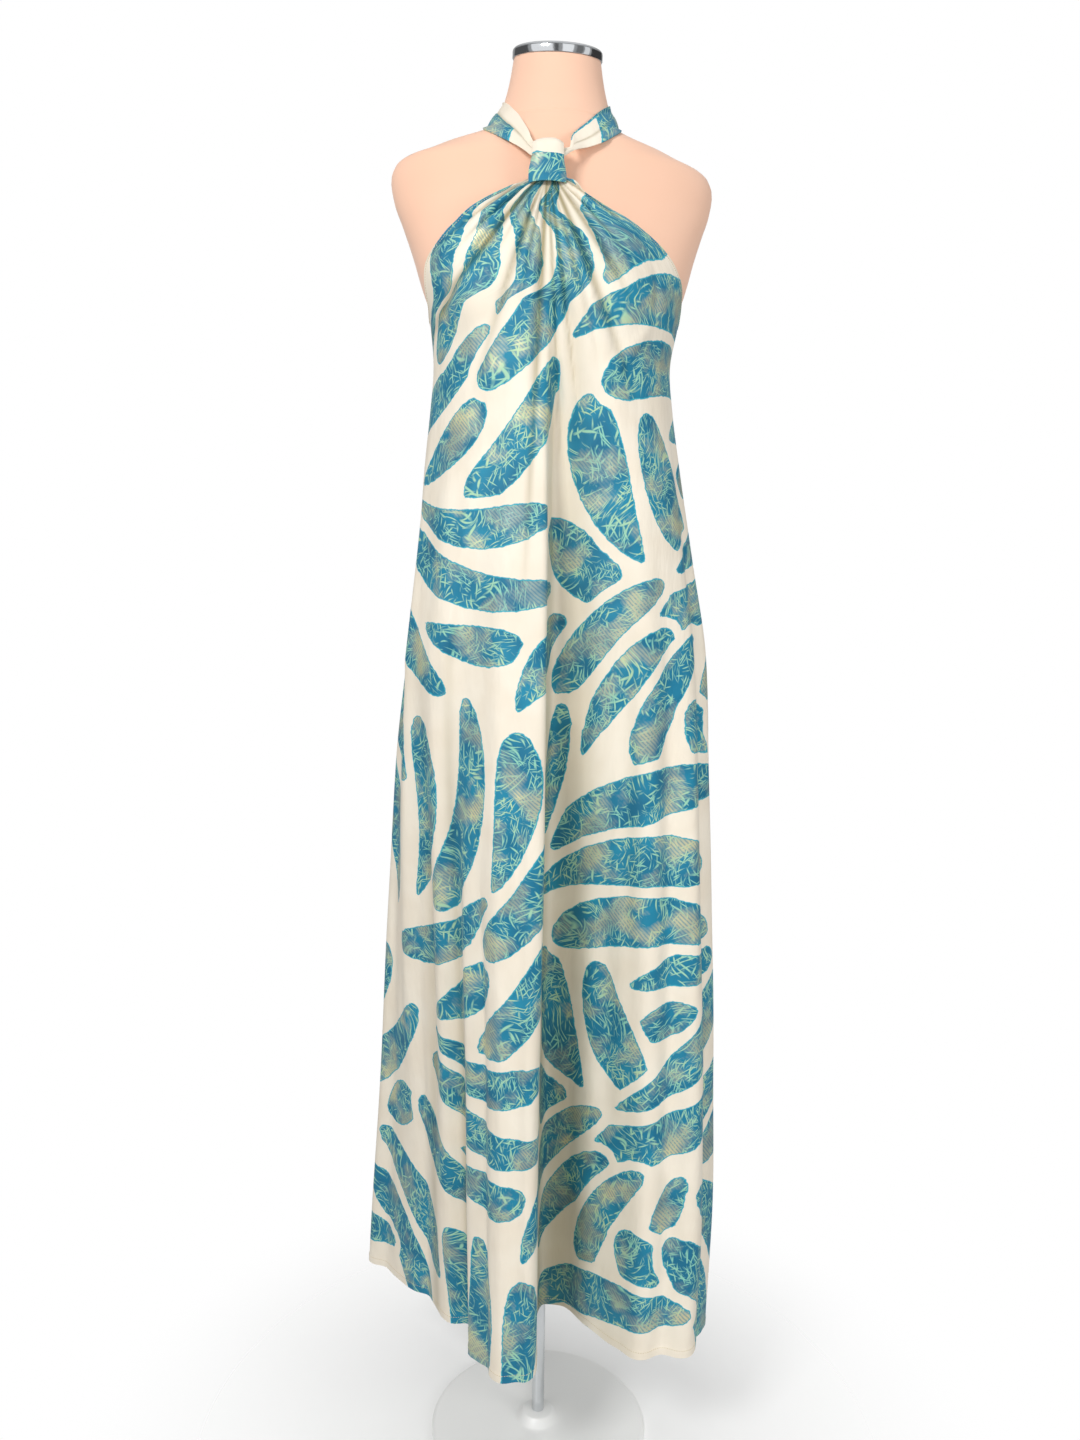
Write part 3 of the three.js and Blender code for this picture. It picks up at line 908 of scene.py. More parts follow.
def cloth_shell(name, grid, flat, printed, wall=THIN_CLOTH, shade=0.0):
    """A closed sheet of cloth, `wall` thick, around a grid of points in millimetres."""
    rows, columns, _ = grid.shape
    layer = rows * columns
    side = outward(grid) * wall / 2
    points = np.concatenate([(grid + side).reshape(-1, 3), (grid - side).reshape(-1, 3)])
    points[:, 2] += RAISED
    at = np.arange(layer).reshape(rows, columns)
    a, b, c, d = at[:-1, :-1], at[:-1, 1:], at[1:, 1:], at[1:, :-1]
    faces = [quads(a, b, c, d), quads(a + layer, d + layer, c + layer, b + layer)]
    for line, flip in ((at[0], False), (at[-1], True), (at[:, 0], True), (at[:, -1], False)):
        one, two = (line[1:], line[:-1]) if flip else (line[:-1], line[1:])
        faces.append(quads(one + layer, two + layer, two, one))
    faces = np.concatenate(faces)
    piece = place_mesh(name, points, faces.tolist(), CREPE)
    for label, values in (("print", printed), ("shade", np.broadcast_to(shade, (rows, columns)))):
        attribute = piece.data.attributes.new(label, "FLOAT", "POINT")
        attribute.data.foreach_set("value", np.tile(values.ravel(), 2))
    corners = piece.data.uv_layers.new(name="cloth")
    both = np.tile(flat.reshape(-1, 2), (2, 1)) * MM
    corners.data.foreach_set("uv", both[faces.ravel()].ravel())
    return piece


print("an edge is drawn sharp above", round(math.degrees(SHARP_EDGE)), "degrees")

# %% [markdown]
# ## The two panels
#
# The columns of the grid are set closer where the folds are deep and where the chest curves. The
# flat place of a point is its distance along the row from the panel's middle. Above the bust the
# cloth is gathered, so there the flat panel is much wider than the row, and the print is squeezed
# towards the loop just as it is on the dress.

# %% Flat places
GATHERS_BEGIN = 1290
FLAT_TOP_WIDTH = 300
FINE_PLACES = 900


def columns_between(start, end, count):
    """Places along the hem, closer where the folds are deep and where the bust curves."""
    fine = np.linspace(start, end, FINE_PLACES)
    angle = read(HEM_RUN, "run", "angle", fine)
    by_run = (fine - start) / (end - start)
    by_angle = (angle - angle[0]) / (angle[-1] - angle[0])
    return np.interp(np.linspace(0, 1, count), (by_run + by_angle) / 2, fine)


def flat_places(grid, z, middle):
    """Across and up on the flat cloth for each point of a panel, in millimetres."""
    along = lengths_along(np.linalg.norm(np.diff(grid, axis=1)[..., :2], axis=-1), 1)
    width = along[:, -1]
    share = (z - GATHERS_BEGIN) / (GATHER_TOP - GATHERS_BEGIN)
    gathered = mix(np.interp(GATHERS_BEGIN, z, width), FLAT_TOP_WIDTH, share)
    flat_width = np.where(share > 0, np.maximum(width, gathered), width)
    across = (along - along[:, middle : middle + 1]) * (flat_width / width)[:, None]
    up = np.broadcast_to(z[:, None], across.shape)
    return np.stack([across, up], axis=-1), flat_width


print("the gathered edge is", FLAT_TOP_WIDTH, "mm wide when it lies flat")

# %% [markdown]
# Between its folds the skirt has soft creases, which run down the panel along slightly slanting
# lines. Each has the angle on the bust and the height of both its ends, a width, and the height of
# its ridge, where a negative one is a trough. Near the side seams the cloth lies calm, because there
# the two panels have to meet.

# %% Soft creases
SEAM_GAP = 0.1
SEAM_CALM = 16
CREASE_ENDS = 20
CREASE_FADE = 0.3
FRONT_CREASES = table("""
top_angle top_z low_angle low_z width height
-84 1120 -82 66 14 -6
-72 1200 -70 300 12 5
-58 860 -55 240 16 -8
-49 1000 -50 66 15 6
-40 900 -42 66 12 -7
-34 780 -33 66 11 7
-29 700 -27 66 9 -6
-22 1120 -19 420 16 4
-13 900 -11 66 13 -5
22 640 25 300 14 -5
29 900 30 560 9 -4
36 1180 40 66 16 6
49 1020 51 66 14 -7
61 960 63 66 14 6
70 1240 74 66 10 -6
79 1150 82 66 12 5
50 1290 20 1210 9 3
60 1345 48 1290 8 -2
-66 1330 -50 1280 8 -2
-3.6 1290 -3.2 420 7 5
2.4 1260 2 1010 6 -4
1.6 800 1.4 420 6 -5
-48 1150 -46 900 14 3
""")
BACK_CREASES = table("""
top_angle top_z low_angle low_z width height
104 1150 108 66 14 6
118 1020 121 66 13 -7
131 1120 134 200 15 5
147 900 145 66 12 -6
158 1180 160 66 16 6
172 1060 170 66 12 -5
184 1150 182 380 15 6
196 980 194 66 13 -7
207 1160 205 66 15 5
219 1020 218 66 12 -6
230 1120 228 260 14 5
243 1180 241 66 13 -7
254 1080 255 66 12 5
""")

# Long, very shallow waves, which keep wide stretches of cloth from looking pressed.
UNEVEN = 0.55
WAVES = table("""
strength across up phase
1 31 210 0
0.7 19 -150 1.3
0.5 47 62 0
0.35 26 -41 0.4
""")
WAVES_END = (1150, 1300)


def unevenness(across, z):
    waves = sum(
        wave["strength"] * np.sin(across / wave["across"] + z / wave["up"] + wave["phase"])
        for wave in WAVES
    )
    return UNEVEN * waves * (1 - eased(*WAVES_END, z))


def creased(grid, across, z, angle, creases):
    """Raises soft ridges and troughs along lines that run down the panel."""
    rise = unevenness(across, z[:, None])
    for crease in creases:
        top, low = crease["top_z"], crease["low_z"]
        line_angle = mix(crease["top_angle"], crease["low_angle"], np.clip((top - z) / (top - low), 0, 1))
        line = np.array([np.interp(a, angle, row) for a, row in zip(line_angle, across)])
        soft_part = CREASE_FADE * (top - low)
        fade = eased(top + CREASE_ENDS, top - soft_part, z)
        if low > HEM:
            fade = fade * eased(low - CREASE_ENDS, low + soft_part, z)
        off = (across - line[:, None]) / crease["width"]
        rise += crease["height"] * fade[:, None] * np.exp(-(off**2))
    from_seam = np.minimum(across - across[:, :1], across[:, -1:] - across)
    return grid + outward(grid) * (rise * eased(0, SEAM_CALM, from_seam))[..., None]


print(len(FRONT_CREASES), "creases on the front and", len(BACK_CREASES), "on the back")

# %% [markdown]
# The shade in the folds is painted. A fold that closes shows as a dark line, but the sheet stops where
# the fold would close, so the line is kept as a painted shade for each vertex. The shadow that the deep
# fold casts into its valley, and the shade on the steep sides of other folds, are painted the same way.
# It follows the deep folds down the skirt and the pleats under the loop.

# %% Painted shade in the folds
FOLD_SHADES = table("""
angle width strength
0.5 3 0.9
8.5 7.5 0.72
-41.5 2 0.6
-58 2.6 0.4
31 6 0.15
139 3 0.5
182 4 0.5
226 4 0.5
""")
SHADE_GROWTH = 0.6
PLEAT_SHUT = 18
PLEAT_SHADE = 0.42


def shade_in_folds(grid, angle, heights, gathered):
    """How deep in painted shade each point lies, from 0 to 1, in closed folds, valleys and pleats."""
    start = np.interp(angle, [row["angle"] for row in FOLDS], [row["start"] for row in FOLDS])
    growth = fold_growth(start, heights[:, None]) ** SHADE_GROWTH
    shade = np.zeros(grid.shape[:2])
    for fold in FOLD_SHADES:
        inside = fold["strength"] * np.exp(-(((angle - fold["angle"]) / fold["width"]) ** 2))
        shade = np.maximum(shade, inside * growth)
    if gathered:
        distance, direction = from_loop(grid[..., 0], heights[:, None])
        for pleat in PLEATS:
            away, width, depth = valley(pleat, distance, direction)
            line = depth / PLEAT_SHUT * np.exp(-((away / (PLEAT_SHADE * width)) ** 2))
            shade = np.maximum(shade, np.minimum(line, 1))
    return shade


print(len(FOLD_SHADES), "folds and", len(PLEATS), "pleats hold a shade")

# %% [markdown]
# The hem is turned up 10 mm and topstitched, and the armholes and the top of the back are turned in
# 5 mm. A turned edge is two layers thick, so the cloth stands out a little there.

# %% Build the front and the back
TURN_RISE = 0.45
HEM_STEP = 0.6
EDGE_STEP = 0.7
HEM_ROWS = [HEM, HEM + 1.5, HEM + 5, HEM + 9, HEM + 10, HEM + 11, HEM + 14]
SKIRT_FROM = HEM + 21
FRONT_COLUMNS = 178
BACK_COLUMNS = 120
FRONT_PRINT = (205.0, 60.0)
BACK_PRINT = (430.0, 330.0)
FAR = 1e3


def turned_edges(grid, z, edge_distance):
    """Raises the outer face where the cloth is turned in at an edge."""
    at_hem = 1 - eased(HEM + HEM_TURN - HEM_STEP, HEM + HEM_TURN + HEM_STEP, z)[:, None]
    at_edge = 1 - eased(EDGE_TURN - EDGE_STEP, EDGE_TURN + EDGE_STEP, edge_distance)
    return grid + outward(grid) * (TURN_RISE * np.maximum(at_hem, at_edge))[..., None]


def from_edge(row_distance, edge, z):
    """The distance square to a slanting edge, from the distance along the row."""
    return row_distance / np.hypot(1, np.gradient(edge, z))[:, None]


def build_panel(name, start, end, columns, heights, creases, shift, dip=0):
    """A panel's shell, with the grids that its stitches and its flat size are read from."""
    runs = columns_between(start + SEAM_GAP / 2, end - SEAM_GAP / 2, columns)
    angle = read(HEM_RUN, "run", "angle", runs)
    share = (runs - runs[0]) / (runs[-1] - runs[0])
    near_top = np.clip((heights - DIP_BEGINS) / (UNDERARM - DIP_BEGINS), 0, 1)
    sunk = heights[:, None] - dip * near_top[:, None] * np.sin(math.pi * share) ** 2
    grid = dress_points(np.broadcast_to(runs, sunk.shape).ravel(), sunk.ravel()).reshape(*sunk.shape, 3)
    middle = int(np.argmin(np.abs(angle - (angle[0] + angle[-1]) / 2)))
    flat, flat_width = flat_places(grid, heights, middle)
    across = flat[..., 0]
    grid = creased(grid, across, heights, angle, creases)
    left = from_edge(across - across[:, :1], grid[:, 0, 0], heights)
    right = from_edge(across[:, -1:] - across, grid[:, -1, 0], heights)
    if dip:
        edge_distance = np.broadcast_to(heights[-1] - heights[:, None], across.shape)
    else:
        edge_distance = np.where(heights[:, None] > UNDERARM, np.minimum(left, right), FAR)
    grid = turned_edges(grid, heights, edge_distance)
    printed = print_distance(across + shift[0], flat[..., 1] + shift[1])
    shade = shade_in_folds(grid, angle, heights, gathered=not dip)
    panel = {"grid": grid, "z": heights, "left": left, "right": right}
    panel["shell"] = cloth_shell(name, grid, flat, printed, shade=shade)
    panel["size"] = (float(flat_width.max()) * MM, float(heights[-1] - heights[0]) * MM)
    panel["area"] = float(np.trapz(flat_width, heights)) * MM * MM
    print("it is cut from", np.round(panel["size"], 3), "m:", round(panel["area"], 3), "m2 of cloth")
    return panel


skirt_rows = np.linspace(SKIRT_FROM, UNDERARM - 4, 168)
chest_rows = np.linspace(UNDERARM, GATHER_TOP, 62)
heights = np.concatenate([HEM_ROWS, skirt_rows, chest_rows])
front = build_panel("front", 0, RIGHT_SEAM, FRONT_COLUMNS, heights, FRONT_CREASES, FRONT_PRINT)

skirt_rows = np.linspace(SKIRT_FROM, UNDERARM - 7, 158)
edge_rows = UNDERARM - np.array([5.5, 4.5, 2, 0])
heights = np.concatenate([HEM_ROWS, skirt_rows, edge_rows])
back = build_panel(
    "back", RIGHT_SEAM, WHOLE_HEM, BACK_COLUMNS, heights, BACK_CREASES, BACK_PRINT, BACK_DIP
)

# %% [markdown]
# ## The neckband
#
# The neckband is a long strip, folded double, that rises from the loop on both sides and crosses
# behind the neck. Two tables are enough: one follows its lower and its upper edge round the neck, and
# the other tells where the soft fold of each front strand runs, because the band is crushed where it
# leaves the loop.

# %% The tables of the neckband
NECKBAND = table("""
lowX lowY lowZ topX topY topZ
-9.5 -98 1461 -9.5 -97 1473
-25 -98 1463 -21 -96 1476
-33 -93 1470 -26 -90 1483
-41 -87 1477 -30 -84 1495
-50 -81 1484 -35.5 -76 1507
-59 -76 1490 -41 -66 1519
-69 -70 1497 -47 -55 1529
-76 -58 1505 -53 -42 1540
-78 -42 1513 -58 -26 1550
-80 -14 1524 -60 -8 1557
-78 18 1530 -59 16 1564
-67 47 1533 -46 39 1569
-40 70 1533 -25 51 1572
0 76 1534 0 55 1573
40 70 1533 25 50 1572
66 45 1533 45 37 1567
75 15 1530 58 14 1561
74 -11 1526 59 -8 1555
73 -32 1517 57 -24 1547
69 -49 1507 52 -38 1538
60 -64 1495 44 -52 1526
47 -73 1486 35 -64 1513
35 -79 1480 25 -72 1502
25 -87 1475 18 -80 1492
17 -93 1470 15.5 -91 1475
8 -98 1463 8 -96 1472
-7.5 -98 1461 -7.5 -97 1473
""")
# How far along the band, how far up it the fold runs, and how high the fold is.
BAND_FOLDS = table("""
along share height
0 0.5 0
22 0.5 1.6
50 0.55 2.6
80 0.6 2.6
110 0.62 1.6
140 0.65 0.6
175 0.65 0
350 0.6 0
390 0.55 0.6
420 0.5 1.8
455 0.42 2.6
480 0.45 1.6
500 0.5 0
""")
BAND_FULLNESS = 3
BAND_GAP = 0.2
SHOULDER_DROP = 1
BAND_LENGTHS = 260
BAND_WIDTHS = 26
FOLD_LAP = 0.9
LAP_STEP = 0.02
FOLD_RISES = 1.6
FOLD_FALLS = 0.8
print("the neckband is laid through", len(NECKBAND), "places")

# %% [markdown]
# The cut of the band decides which part of the print shows. The left strand shows ink below its fold,
# and the right one shows a patch of ink that ends on a slant, with a narrow edge of ink above it.

# %% Where the neckband shows ink
BAND_PRINT = (60.0, 410.0)
BAND_INKED = {"left": (45, 150), "right": (370, 432), "edge": 470}
LEFT_SLANT = 6
RIGHT_SLANT = 10
INKED_EDGE = 0.92
EDGE_SPREAD = 40


def band_ink(printed, share, along, from_fold):
    """The print distance of the whole band, with the ink of its two front strands."""
    left, right = BAND_INKED["left"], BAND_INKED["right"]
    on_left = along < along.max() / 2
    below_fold = np.maximum(from_fold, left[0] - along + LEFT_SLANT * share)
    patch = np.maximum(right[0] - along, along + RIGHT_SLANT * (share - 0.5) - right[1])
    edge = np.maximum((INKED_EDGE - share) * EDGE_SPREAD, along - BAND_INKED["edge"])
    printed = np.where(on_left & (along < left[1]), below_fold, printed)
    return np.where(~on_left & (along > right[0]), np.minimum(patch, edge), printed)


print("the left strand shows ink for", BAND_INKED["left"][1] - BAND_INKED["left"][0], "mm")

# %% Build the neckband
# How dark the painted shade along each strand's fold is, the fold height where it is full, and its width.
CRUSHED_FOLD_SHADE = {"shade": 0.6, "height": 2.6, "width": 0.07}


def build_neckband():
    rows = measured(NECKBAND, "lowX", "lowY")
    whole = rows[-1]["run"]
    run = np.linspace(0, whole, BAND_LENGTHS)
    share = np.linspace(0, 1, BAND_WIDTHS)[:, None]
    low, top = (
        np.stack([read(rows, "run", edge + axis, run) for axis in "XYZ"], axis=-1)
        for edge in ("low", "top")
    )
    grid = mix(low[None], top[None], share[..., None])
    from_axis = np.linalg.norm(grid[..., :2], axis=-1)
    full = 1 + BAND_FULLNESS * np.sin(math.pi * share) / from_axis
    gap = THIN_DOUBLED / 2 + BAND_GAP
    x, y = clear_of_form(grid[..., 0] * full, grid[..., 1] * full, grid[..., 2], gap, SHOULDER_DROP)
    grid = np.stack([x, y, grid[..., 2]], axis=-1)

    along = (run * BAND_FOLDS[-1]["along"] / whole)[None]
    fold, height = (read(BAND_FOLDS, "along", name, along) for name in ("share", "height"))
    below = np.clip(share / fold, 0, 1)
    above = np.clip((1 - share) / (1 - fold), 0, 1)
    ridge = np.where(share < fold, below**FOLD_RISES, above**FOLD_FALLS)
    lap = FOLD_LAP * eased(-LAP_STEP, LAP_STEP, share - fold) * above
    grid = grid + outward(grid) * (height * ridge + np.minimum(height, 1) * lap)[..., None]

    up = lengths_along(np.linalg.norm(np.diff(grid, axis=0), axis=-1), 0)
    flat = np.stack([np.broadcast_to(run, up.shape), up], axis=-1)
    printed = print_distance(flat[..., 0] + BAND_PRINT[0], flat[..., 1] + BAND_PRINT[1])
    printed = band_ink(printed, share, along, (share - fold) * up[-1:])
    # Painted shade: a narrow dark line along each strand's fold, strongest where the crushed fold is
    # highest.
    crushed = np.minimum(height / CRUSHED_FOLD_SHADE["height"], 1)
    crushed = crushed * np.exp(-(((share - fold) / CRUSHED_FOLD_SHADE["width"]) ** 2))
    shade = CRUSHED_FOLD_SHADE["shade"] * crushed
    shell = cloth_shell("neckband_strip", grid, flat, printed, THIN_DOUBLED, shade)
    width = float(up[-1].max())
    print("it is", round(whole), "mm long and up to", round(width), "mm wide")
    return shell, (whole * MM, width * MM), float(np.trapz(up[-1], run)) * MM * MM


neckband, band_size, band_area = build_neckband()

# %% [markdown]
# ## The loop
#
# The loop is a short doubled strip that is sewn into a ring. It is pulled snug round the gathers and
# the neckband, so its top sinks between its sides and its front bulges. A few shallow dents cross it
# where the cloth under it presses out. Seen from the side it goes up the front, over a half round and
# down the back. Its upper part shows the cream ground.

# %% Build the loop
LOOP = {
    "x": -8.5,
    "half_width": 20.5,
    "front": -109,
    "back": -87,
    "bottom": 1433,
    "back_bottom": 1442,
    "shoulder": 1470,
    "side_sink": 5,
    "side_bend": 6,
    "side_power": 2.5,
    "taper": 0.2,
    "ripple": 0.015,
    "ripple_height": 6,
    "dents": 0.8,
    "dents_across": 4.2,
    "dents_slant": 14,
    "dents_height": 7.5,
    "cream_wave": 2.5,
}
LOOP_ROWS = {"front": 35, "over": 40, "back": 19}
LOOP_COLUMNS = 48
LOOP_PRINT = (352.0, 80.0)
LOOP_CREAM_FROM = 1462
INK_DEPTH = 9


def build_loop():
    low, high = LOOP["bottom"], LOOP["shoulder"]
    radius = (LOOP["back"] - LOOP["front"]) / 2
    middle = (LOOP["back"] + LOOP["front"]) / 2
    turn = np.linspace(0, math.pi, LOOP_ROWS["over"])
    rise = np.linspace(low, high, LOOP_ROWS["front"] + 1)[:-1]
    fall = np.linspace(high, LOOP["back_bottom"], LOOP_ROWS["back"] + 1)[1:]
    y = np.concatenate([0 * rise + LOOP["front"], middle - radius * np.cos(turn), 0 * fall + LOOP["back"]])
    z = np.concatenate([rise, high + radius * np.sin(turn), fall])
    length = lengths_along(np.hypot(np.diff(y), np.diff(z)), 0)[:, None]
    y, z = y[:, None], z[:, None]
    side = np.linspace(-1, 1, LOOP_COLUMNS)[None]
    forward = (LOOP["back"] - y) / (LOOP["back"] - LOOP["front"])
    bend = LOOP["side_bend"] * forward * np.abs(side) ** LOOP["side_power"]
    sink = LOOP["side_sink"] * side**2 * np.sin(np.clip((z - high) / radius, 0, 1))
    ripple = LOOP["ripple"] * np.sin(z / LOOP["ripple_height"])
    x = LOOP["half_width"] * (1 + ripple - LOOP["taper"] * eased(low, high + 4, z)) * side
    grid = np.stack([LOOP["x"] + x, y + bend, z - sink], axis=-1)
    across = np.sin(side * LOOP["dents_across"] + z / LOOP["dents_slant"])
    dents = LOOP["dents"] * across * np.sin(z / LOOP["dents_height"]) * forward
    grid = grid + outward(grid) * dents[..., None]

    flat = np.stack([x + LOOP_PRINT[0], length + LOOP_PRINT[1] + 0 * x], axis=-1)
    edge = low + length - LOOP_CREAM_FROM + LOOP["cream_wave"] * np.sin(side * 2.6 + 0.6)
    printed = print_distance(flat[..., 0], flat[..., 1])
    inked = np.minimum(printed, 0) + np.maximum(edge, -INK_DEPTH)
    printed = np.where(length > LOOP_CREAM_FROM - low, np.maximum(printed, edge), inked)
    shell = cloth_shell("loop_strip", grid, flat, printed, THIN_DOUBLED)
    size = (2 * LOOP["half_width"], float(length[-1, 0]))
    print("it is", round(size[1]), "mm of strip,", size[0], "mm wide")
    return shell, tuple(side * MM for side in size)


loop, loop_size = build_loop()

# %% [markdown]
# ## Topstitching
#
# Lockstitches are a small shape repeated along a line at an even pitch, which is what Geometry Nodes
# do best. The line is a plain polyline that lies on the cloth. The tree resamples it to the stitch
# pitch, puts a thin bead on each point, turned along the line, and makes the beads real. The thread
# is drawn 0.6 mm thick, about twice what it is, so that the stitches show.

# %% The stitch tree
STITCH_PITCH = 3.0
STITCH_LENGTH = 2.2
STITCH_THICK = 0.6


def stitch_tree():
    tree = bpy.data.node_groups.new("lockstitches", "GeometryNodeTree")
    sockets = {"Line": "Geometry", "Pitch": "Float", "Length": "Float", "Thickness": "Float"}
    sockets["Thread"] = "Material"
    for name, kind in sockets.items():
        tree.interface.new_socket(name, in_out="INPUT", socket_type="NodeSocket" + kind)
    tree.interface.new_socket("Stitches", in_out="OUTPUT", socket_type="NodeSocketGeometry")
    node = adder(tree)
    given = tree.nodes.new("NodeGroupInput").outputs
    line = node("GeometryNodeMeshToCurve", {"Mesh": given["Line"]})
    pitch = {"Curve": line, "Length": given["Pitch"]}
    even = node("GeometryNodeResampleCurve", pitch, mode="LENGTH")
    along = node("GeometryNodeInputTangent")
    facing = node("FunctionNodeAlignRotationToVector", {"Vector": along}, axis="Z")
    bead = node("GeometryNodeMeshUVSphere", {"Segments": 6, "Rings": 4, "Radius": 0.5})
    shape = {"X": given["Thickness"], "Y": given["Thickness"], "Z": given["Length"]}
    beads = {"Points": even, "Instance": bead, "Rotation": facing, "Scale": node("CombineXYZ", shape)}
    real = node("GeometryNodeRealizeInstances", {"Geometry": node("GeometryNodeInstanceOnPoints", beads)})
    threaded = node("GeometryNodeSetMaterial", {"Geometry": real, "Material": given["Thread"]})
    node("NodeGroupOutput", {"Stitches": threaded})
    return tree


STITCHES = stitch_tree()
print("a stitch every", STITCH_PITCH, "mm")

# %% [markdown]
# A stitch line follows the cloth, a fixed distance in from the edge. On a slanting edge that distance
# is measured square to the edge, not along the row.

# %% Stitch the hem, the armholes and the back's top edge
HEM_STITCH = 9
EDGE_STITCH = 4.2
ON_CLOTH = THIN_CLOTH / 2 + 0.12
ARMHOLE_ROWS = (UNDERARM + 4, 1431)


def stitched(name, lines):
    """Stitches along polylines in millimetres, as one plain mesh."""
    points, edges = [], []
    for line in lines:
        first = len(points)
        points += [(x * MM, y * MM, (z + RAISED) * MM) for x, y, z in line]
        edges += [(i, i + 1) for i in range(first, len(points) - 1)]
    mesh = bpy.data.meshes.new(name + "_line")
    mesh.from_pydata(points, edges, [])
    holder = new_object(name + "_line", mesh)
    modifier = holder.modifiers.new("lockstitches", "NODES")
    modifier.node_group = STITCHES
    values = {"Pitch": STITCH_PITCH, "Length": STITCH_LENGTH, "Thickness": STITCH_THICK}
    values = {label: value * MM for label, value in values.items()}
    values["Thread"] = THREAD
    for item in STITCHES.interface.items_tree:
        if item.name in values and item.in_out == "INPUT":
            modifier[item.identifier] = values[item.name]
    ready = holder.evaluated_get(bpy.context.evaluated_depsgraph_get())
    made = bpy.data.meshes.new_from_object(ready)
    made.name = name
    bpy.data.objects.remove(holder)
    print(name, "has", len(made.polygons), "faces")
    return new_object(name, made)


def outer_face(panel):
    return panel["grid"] + outward(panel["grid"]) * ON_CLOTH


def along_row(panel, height):
    """The outer face of a panel at one height."""
    grid, z = outer_face(panel), panel["z"]
    i = int(np.clip(np.searchsorted(z, height) - 1, 0, len(z) - 2))
    return mix(grid[i], grid[i + 1], (height - z[i]) / (z[i + 1] - z[i]))


def along_armhole(panel, side):
    """The outer face of the front a few millimetres in from one armhole."""
    grid, z = outer_face(panel), panel["z"]
    made = []
    for i in np.flatnonzero((z > ARMHOLE_ROWS[0]) & (z < ARMHOLE_ROWS[1])):
        distance = panel[side][i]
        order = np.argsort(distance)
        made.append([np.interp(EDGE_STITCH, distance[order], grid[i, order, k]) for k in range(3)])
    return made


armholes = [along_armhole(front, side) for side in ("left", "right")]
front_stitches = stitched("front_stitches", [along_row(front, HEM + HEM_STITCH), *armholes])
edges = [along_row(back, height) for height in (HEM + HEM_STITCH, UNDERARM - EDGE_STITCH)]
back_stitches = stitched("back_stitches", edges)

# %% [markdown]
# ## The form
#
# The cover is stretched smooth over the padding, so the body is one loft through the sections. The
# rows crowd together at the shoulders, where the shape turns fastest, and at the seam round the neck,
# which is drawn in by 0.7 mm.

# %% Build the form's body
FORM_AROUND = 144
NECK_SEAM = {"z": 1527, "depth": 0.7, "width": 1.3}
SEAM_ROWS = NECK_SEAM["z"] + np.array([-3, -2, -1.2, -0.6, 0, 0.6, 1.2, 2, 3])
EDGE_ROUND = 6
PLAIN_ENDS, SHOULDER, NECK_ROWS_BEGIN = 1470, (1473, 1545), 1548
BODY_ROWS = {"corner": 7, "plain": 74, "shoulder": 49, "neck": 20}


def closed_rings(name, rings, ends, material):
    """A closed piece through rings of points, with one more point in the middle of each end."""
    rows, around, _ = rings.shape
    at = np.arange(rows * around).reshape(rows, around)
    ahead = np.roll(at, -1, axis=1)
    low, high = rows * around, rows * around + 1
    faces = quads(at[:-1], ahead[:-1], ahead[1:], at[1:]).tolist()
    faces += [[low, b, a] for a, b in zip(at[0].tolist(), ahead[0].tolist())]
    faces += [[high, a, b] for a, b in zip(at[-1].tolist(), ahead[-1].tolist())]
    return place_mesh(name, np.concatenate([rings.reshape(-1, 3), ends]), faces, material)


def build_body():
    plain = np.linspace(FORM_BOTTOM + EDGE_ROUND, PLAIN_ENDS, BODY_ROWS["plain"])
    shoulder = np.linspace(*SHOULDER, BODY_ROWS["shoulder"])
    neck = np.linspace(NECK_ROWS_BEGIN, NECK_TOP, BODY_ROWS["neck"])
    z = np.unique(np.concatenate([plain, shoulder, neck, SEAM_ROWS]))
    corner = np.linspace(math.pi / 2, 0, BODY_ROWS["corner"])[:-1]
    z = np.concatenate([FORM_BOTTOM + EDGE_ROUND * (1 - np.sin(corner)), z])
    inset = np.concatenate([EDGE_ROUND * (1 - np.cos(corner)), np.zeros(len(z) - len(corner))])
    groove = NECK_SEAM["depth"] * np.exp(-(((z - NECK_SEAM["z"]) / NECK_SEAM["width"]) ** 2))
    angle = np.linspace(-math.pi, math.pi, FORM_AROUND, endpoint=False)[None]
    less, z = (inset + groove)[:, None], z[:, None]
    part = {name: read(FORM, "z", name, z) for name in ("width", "depth", "centre", "square")}
    fullness = bust_fullness(angle, z)
    power = 2 / part["square"]
    x = (part["width"] * fullness - less) * signed_power(np.sin(angle), power)
    y = (part["depth"] * fullness - less) * signed_power(-np.cos(angle), power)
    tilt = math.tan(NECK_TILT) * np.clip((z - NECK_BEGINS) / (NECK_TOP - NECK_BEGINS), 0, 1)
    height = z + y * tilt + RAISED
    x, y = turned_about_z(x, y + part["centre"], FORM_TURN)
    rings = np.stack([x, y, height], axis=-1)
    return closed_rings("form_body", rings, rings[[0, -1]].mean(axis=1), JERSEY)


body = build_body()

# %% [markdown]
# ## Turned metal
#
# The cap, the plate under the form, the pole and the base are all round, so one function turns each
# from a profile of radius and height. The profiles have small rounded corners, because a real edge
# always catches a line of light.

# %% Build the cap and the stand
AROUND = 96
CAP_RADIUS = 52.6
FLANGE_RADIUS = 45
FLANGE = 8
FLANGE_CORNER = 1.2
POLE_RADIUS = 8
POLE_CORNER = 0.4
BASE_RADIUS = 140
BASE_TOP = 22
SEAT_GAP = 0.3


